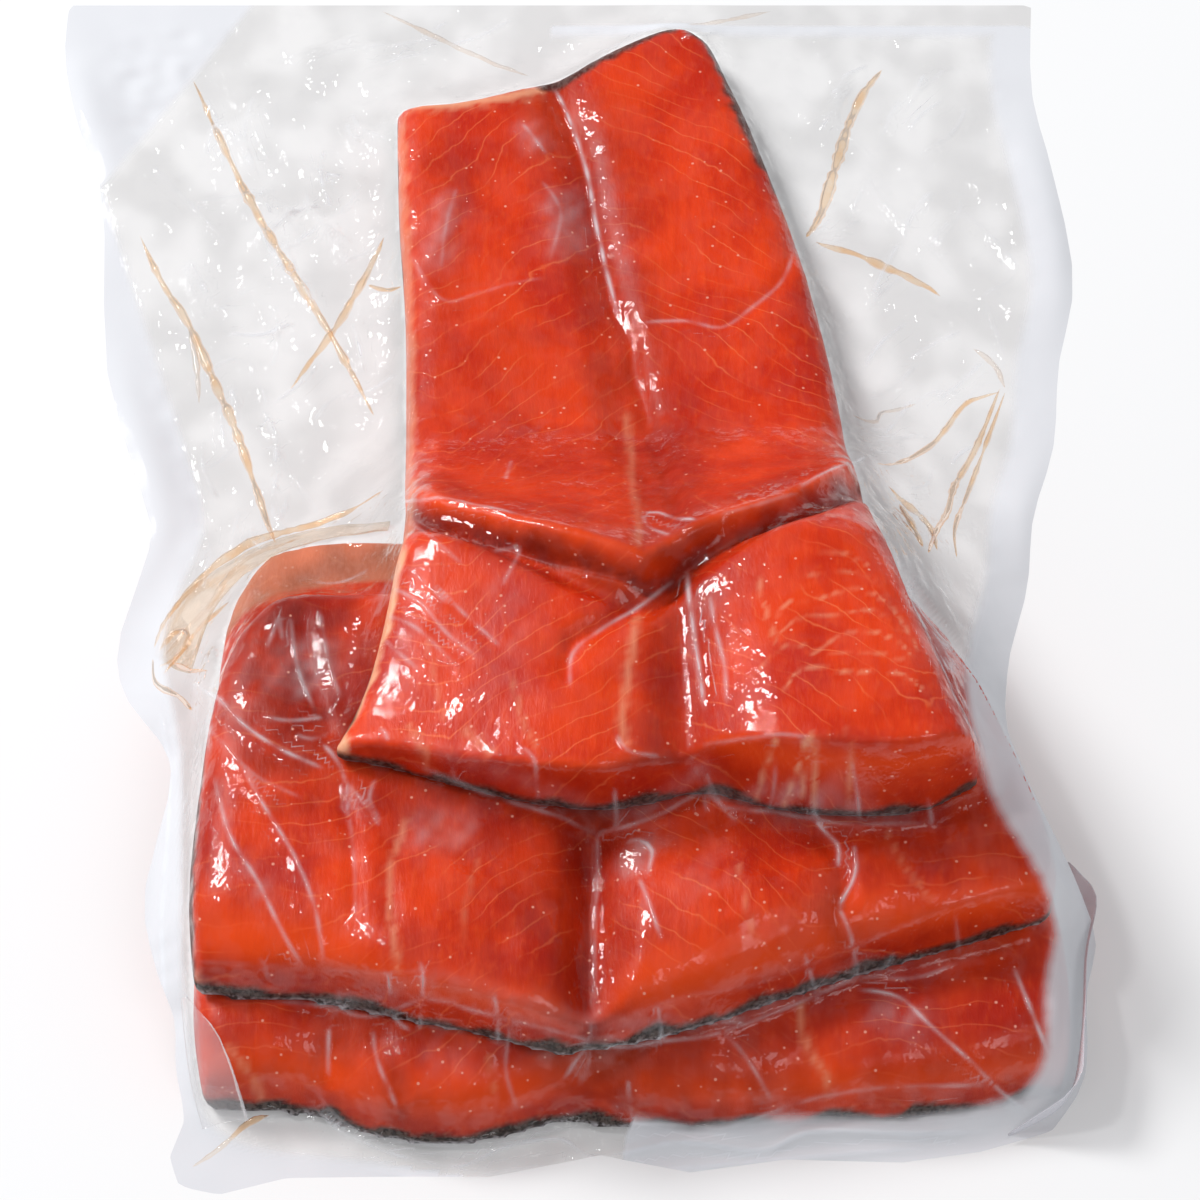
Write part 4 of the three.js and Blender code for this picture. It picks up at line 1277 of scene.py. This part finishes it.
def walk(corners, share):
    """Places on a smooth line in space, at shares of its length."""
    corners = np.array(corners, dtype=float)
    route = smooth_line(corners[:, :2], 3.0)
    rise = at_share(np.linspace(0, 1, len(route)), corners[:, 2])
    return np.stack([at_share(share, v) for v in (route[:, 0], route[:, 1], rise)], axis=1)


def band(name, first, second, sag=0.0):
    """A band of film from one line in space to another, hanging through by sag in its middle."""
    made, u, v = flat_grid(name, 10, 48)
    body = walk(first, v) * (1 - u)[:, None] + walk(second, v) * u[:, None]
    body[:, 2] += -sag * 4 * u * (1 - u) + 0.25 * wobble(body[:, 0], body[:, 1], 7, 17, 14)
    move_points(made, body)
    modify(made, "SOLIDIFY", thickness=BAND * MM, offset=0)
    bpy.ops.object.shade_smooth()
    return made


flap = band("folded_flap",
            [(-67.8, -111, 17), (-67.2, -117, 13.5), (-66.0, -124, 8.5), (-64.0, -130, 3)],
            [(-66.5, -111.5, 18), (-60.5, -119, 17.6), (-57.2, -126.5, 14), (-55.5, -130, 6)], -0.6)
arc = band("arc_band",
           [(-78, -25, 1.5), (-75, -14, 2), (-67, -6, 3), (-57, 0, 4), (-45, 3, 5), (-33, 3.5, 6)],
           [(-70, -35, 10), (-66, -24, 14.5), (-60, -17, 17), (-53, -12, 17.6), (-44, -9, 17.8),
            (-33, -7, 18)], 1.2)
curl = band("curled_edge",
            [(95.5, -72, 1.5), (98.5, -82, 1.5), (97.5, -95, 1.5), (96.0, -112, 1.5),
             (92.5, -124, 1.5), (82, -131, 1.2)],
            [(96.0, -73.0, 2.5), (100.5, -81, 4.5), (97.5, -97, 10), (95.7, -115.5, 14.5),
             (94.0, -125.5, 12), (82, -130.4, 1.8)])
free_edge = band("free_edge",
                 [(80, -44, 12), (84, -58, 9), (91.5, -69, 6), (96, -77, 2)],
                 [(78, -52, 24), (80.5, -63, 20), (89.5, -75, 14), (96, -83, 6)], 0.5)
clear_band = make_clear("clear band", rgb(0.99, 0.985, 0.98), rgb(0.86, 0.86, 0.9), 0.10)
milky_band = make_clear("milky band", rgb(0.97, 0.97, 0.99), rgb(0.80, 0.80, 0.85), 0.5)
amber_band = make_clear("amber band", rgb(0.985, 0.92, 0.85), rgb(0.86, 0.72, 0.58), 0.10)
bands = {flap: clear_band, arc: amber_band, curl: milky_band, free_edge: milky_band}
for piece, material in bands.items():
    piece.data.materials.append(material)
    print(piece.name, "is made of", material.name)

# %% [markdown]
# A clear film casts next to no shadow. Counting its shadow and the light that bounces off it would
# cost minutes and add noise, so only the milky curled edge casts one. The grey of the loose film is
# partly its faint shadow, painted in.

# %% Let light through
for piece in [film, lower_film, *channels, *bands]:
    piece.visible_shadow = piece is curl
    piece.visible_diffuse = False
print("pieces of film and juice that light passes:", 2 + len(channels) + len(bands) - 1)

# %% [markdown]
# ## Floor, light and camera
# The pack lies on a white floor. A large soft light stands behind it on the left, so that slopes
# that face left catch it, and a weaker one hangs above. The world is a dim grey, which keeps the
# reflections in level flesh dark and its colour deep.

# %% Floor
JUST_UNDER = -0.0002             # metres, so that the floor and the lower film don't share a plane
bpy.ops.object.select_all(action="DESELECT")
bpy.ops.mesh.primitive_plane_add(size=6, location=(0, 0, JUST_UNDER))
floor = bpy.context.object
floor.name = "floor"
g = Graph("floor white")
white = g.add("BsdfDiffuse", ("Color", rgb(0.78, 0.78, 0.78)))
glow = g.add("Emission", ("Color", rgb(1, 1, 1)), ("Strength", 0.15))
floor.data.materials.append(g.finish(g.add("AddShader", (0, white), (1, glow))))
floor.active_material.cycles.emission_sampling = "NONE"
print("floor laid", -1000 * JUST_UNDER, "mm under the pack")


# %% [markdown]
# The floor glows a little, which lifts it to the photo's near white without washing out the fish.
# The large light behind the pack on the left makes the soft shine of the cut faces and folds, the
# small one makes the sparks on wet film, and the third fills the shadows.

# %% Lights
def soft_light(name, spot, size, power):
    """An area light that points at the pack."""
    bpy.ops.object.select_all(action="DESELECT")
    bpy.ops.object.light_add(type="AREA", location=spot)
    made = bpy.context.object
    made.name = name
    made.data.shape = "RECTANGLE"
    made.data.size, made.data.size_y = size
    made.data.energy = power
    made.rotation_euler = (-Vector(spot)).to_track_quat("-Z", "Y").to_euler()
    print(name, "light,", power, "W")


soft_light("key", (-1.5, 1.02, 1.62), (0.75, 0.65), 45)
soft_light("glint", (-0.9, 0.15, 1.6), (0.14, 0.14), 4)
soft_light("fill", (0.9, -1.0, 2.0), (1.2, 0.9), 9)
world = bpy.data.worlds.new("studio")
bpy.context.scene.world = world
world.use_nodes = True
sky = world.node_tree.nodes["Background"]
sky.inputs["Color"].default_value = rgb(0.80, 0.82, 0.86)
sky.inputs["Strength"].default_value = 0.43
world.cycles.sampling_method = "NONE"

# %% [markdown]
# The photo looks down at about 55 degrees, from the near end and with little perspective. So the
# camera stands a metre away with a long lens.

# %% Camera
TARGET = Vector((0.008, -0.025, 0.020))
ELEVATION = math.radians(55)
LENS = 157.9                     # makes the pack fill the frame as it does in the photo
bpy.ops.object.select_all(action="DESELECT")
bpy.ops.object.camera_add(
    location=TARGET + Vector((0, -math.cos(ELEVATION), math.sin(ELEVATION))),
    rotation=(math.pi / 2 - ELEVATION, 0, 0))
camera = bpy.context.object
camera.data.sensor_width = 36
camera.data.lens = LENS
bpy.context.scene.camera = camera
bpy.context.scene.view_settings.view_transform = "Standard"
print("camera at", [round(v, 2) for v in camera.location], "m")

# %% [markdown]
# ## Attaching the pieces
# Every piece rides on the one rigid body of the part. The three portions and the film take the
# place of the frame's own pieces, and the floor is only a stage.

# %% Attach the pieces to the body
for portion, node in ((lower, "fillet_lower"), (middle, "fillet_middle"), (tail, "fillet_tail")):
    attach(portion, "root")
    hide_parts(node)
for piece in [film, lower_film, arc, flap]:
    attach(piece, "root")
for piece in [curl, free_edge]:
    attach(piece, "root")
for piece in channels:
    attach(piece, "root")
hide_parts("pouch")

print("pieces:", len(portions) + 2 + len(channels) + len(bands))
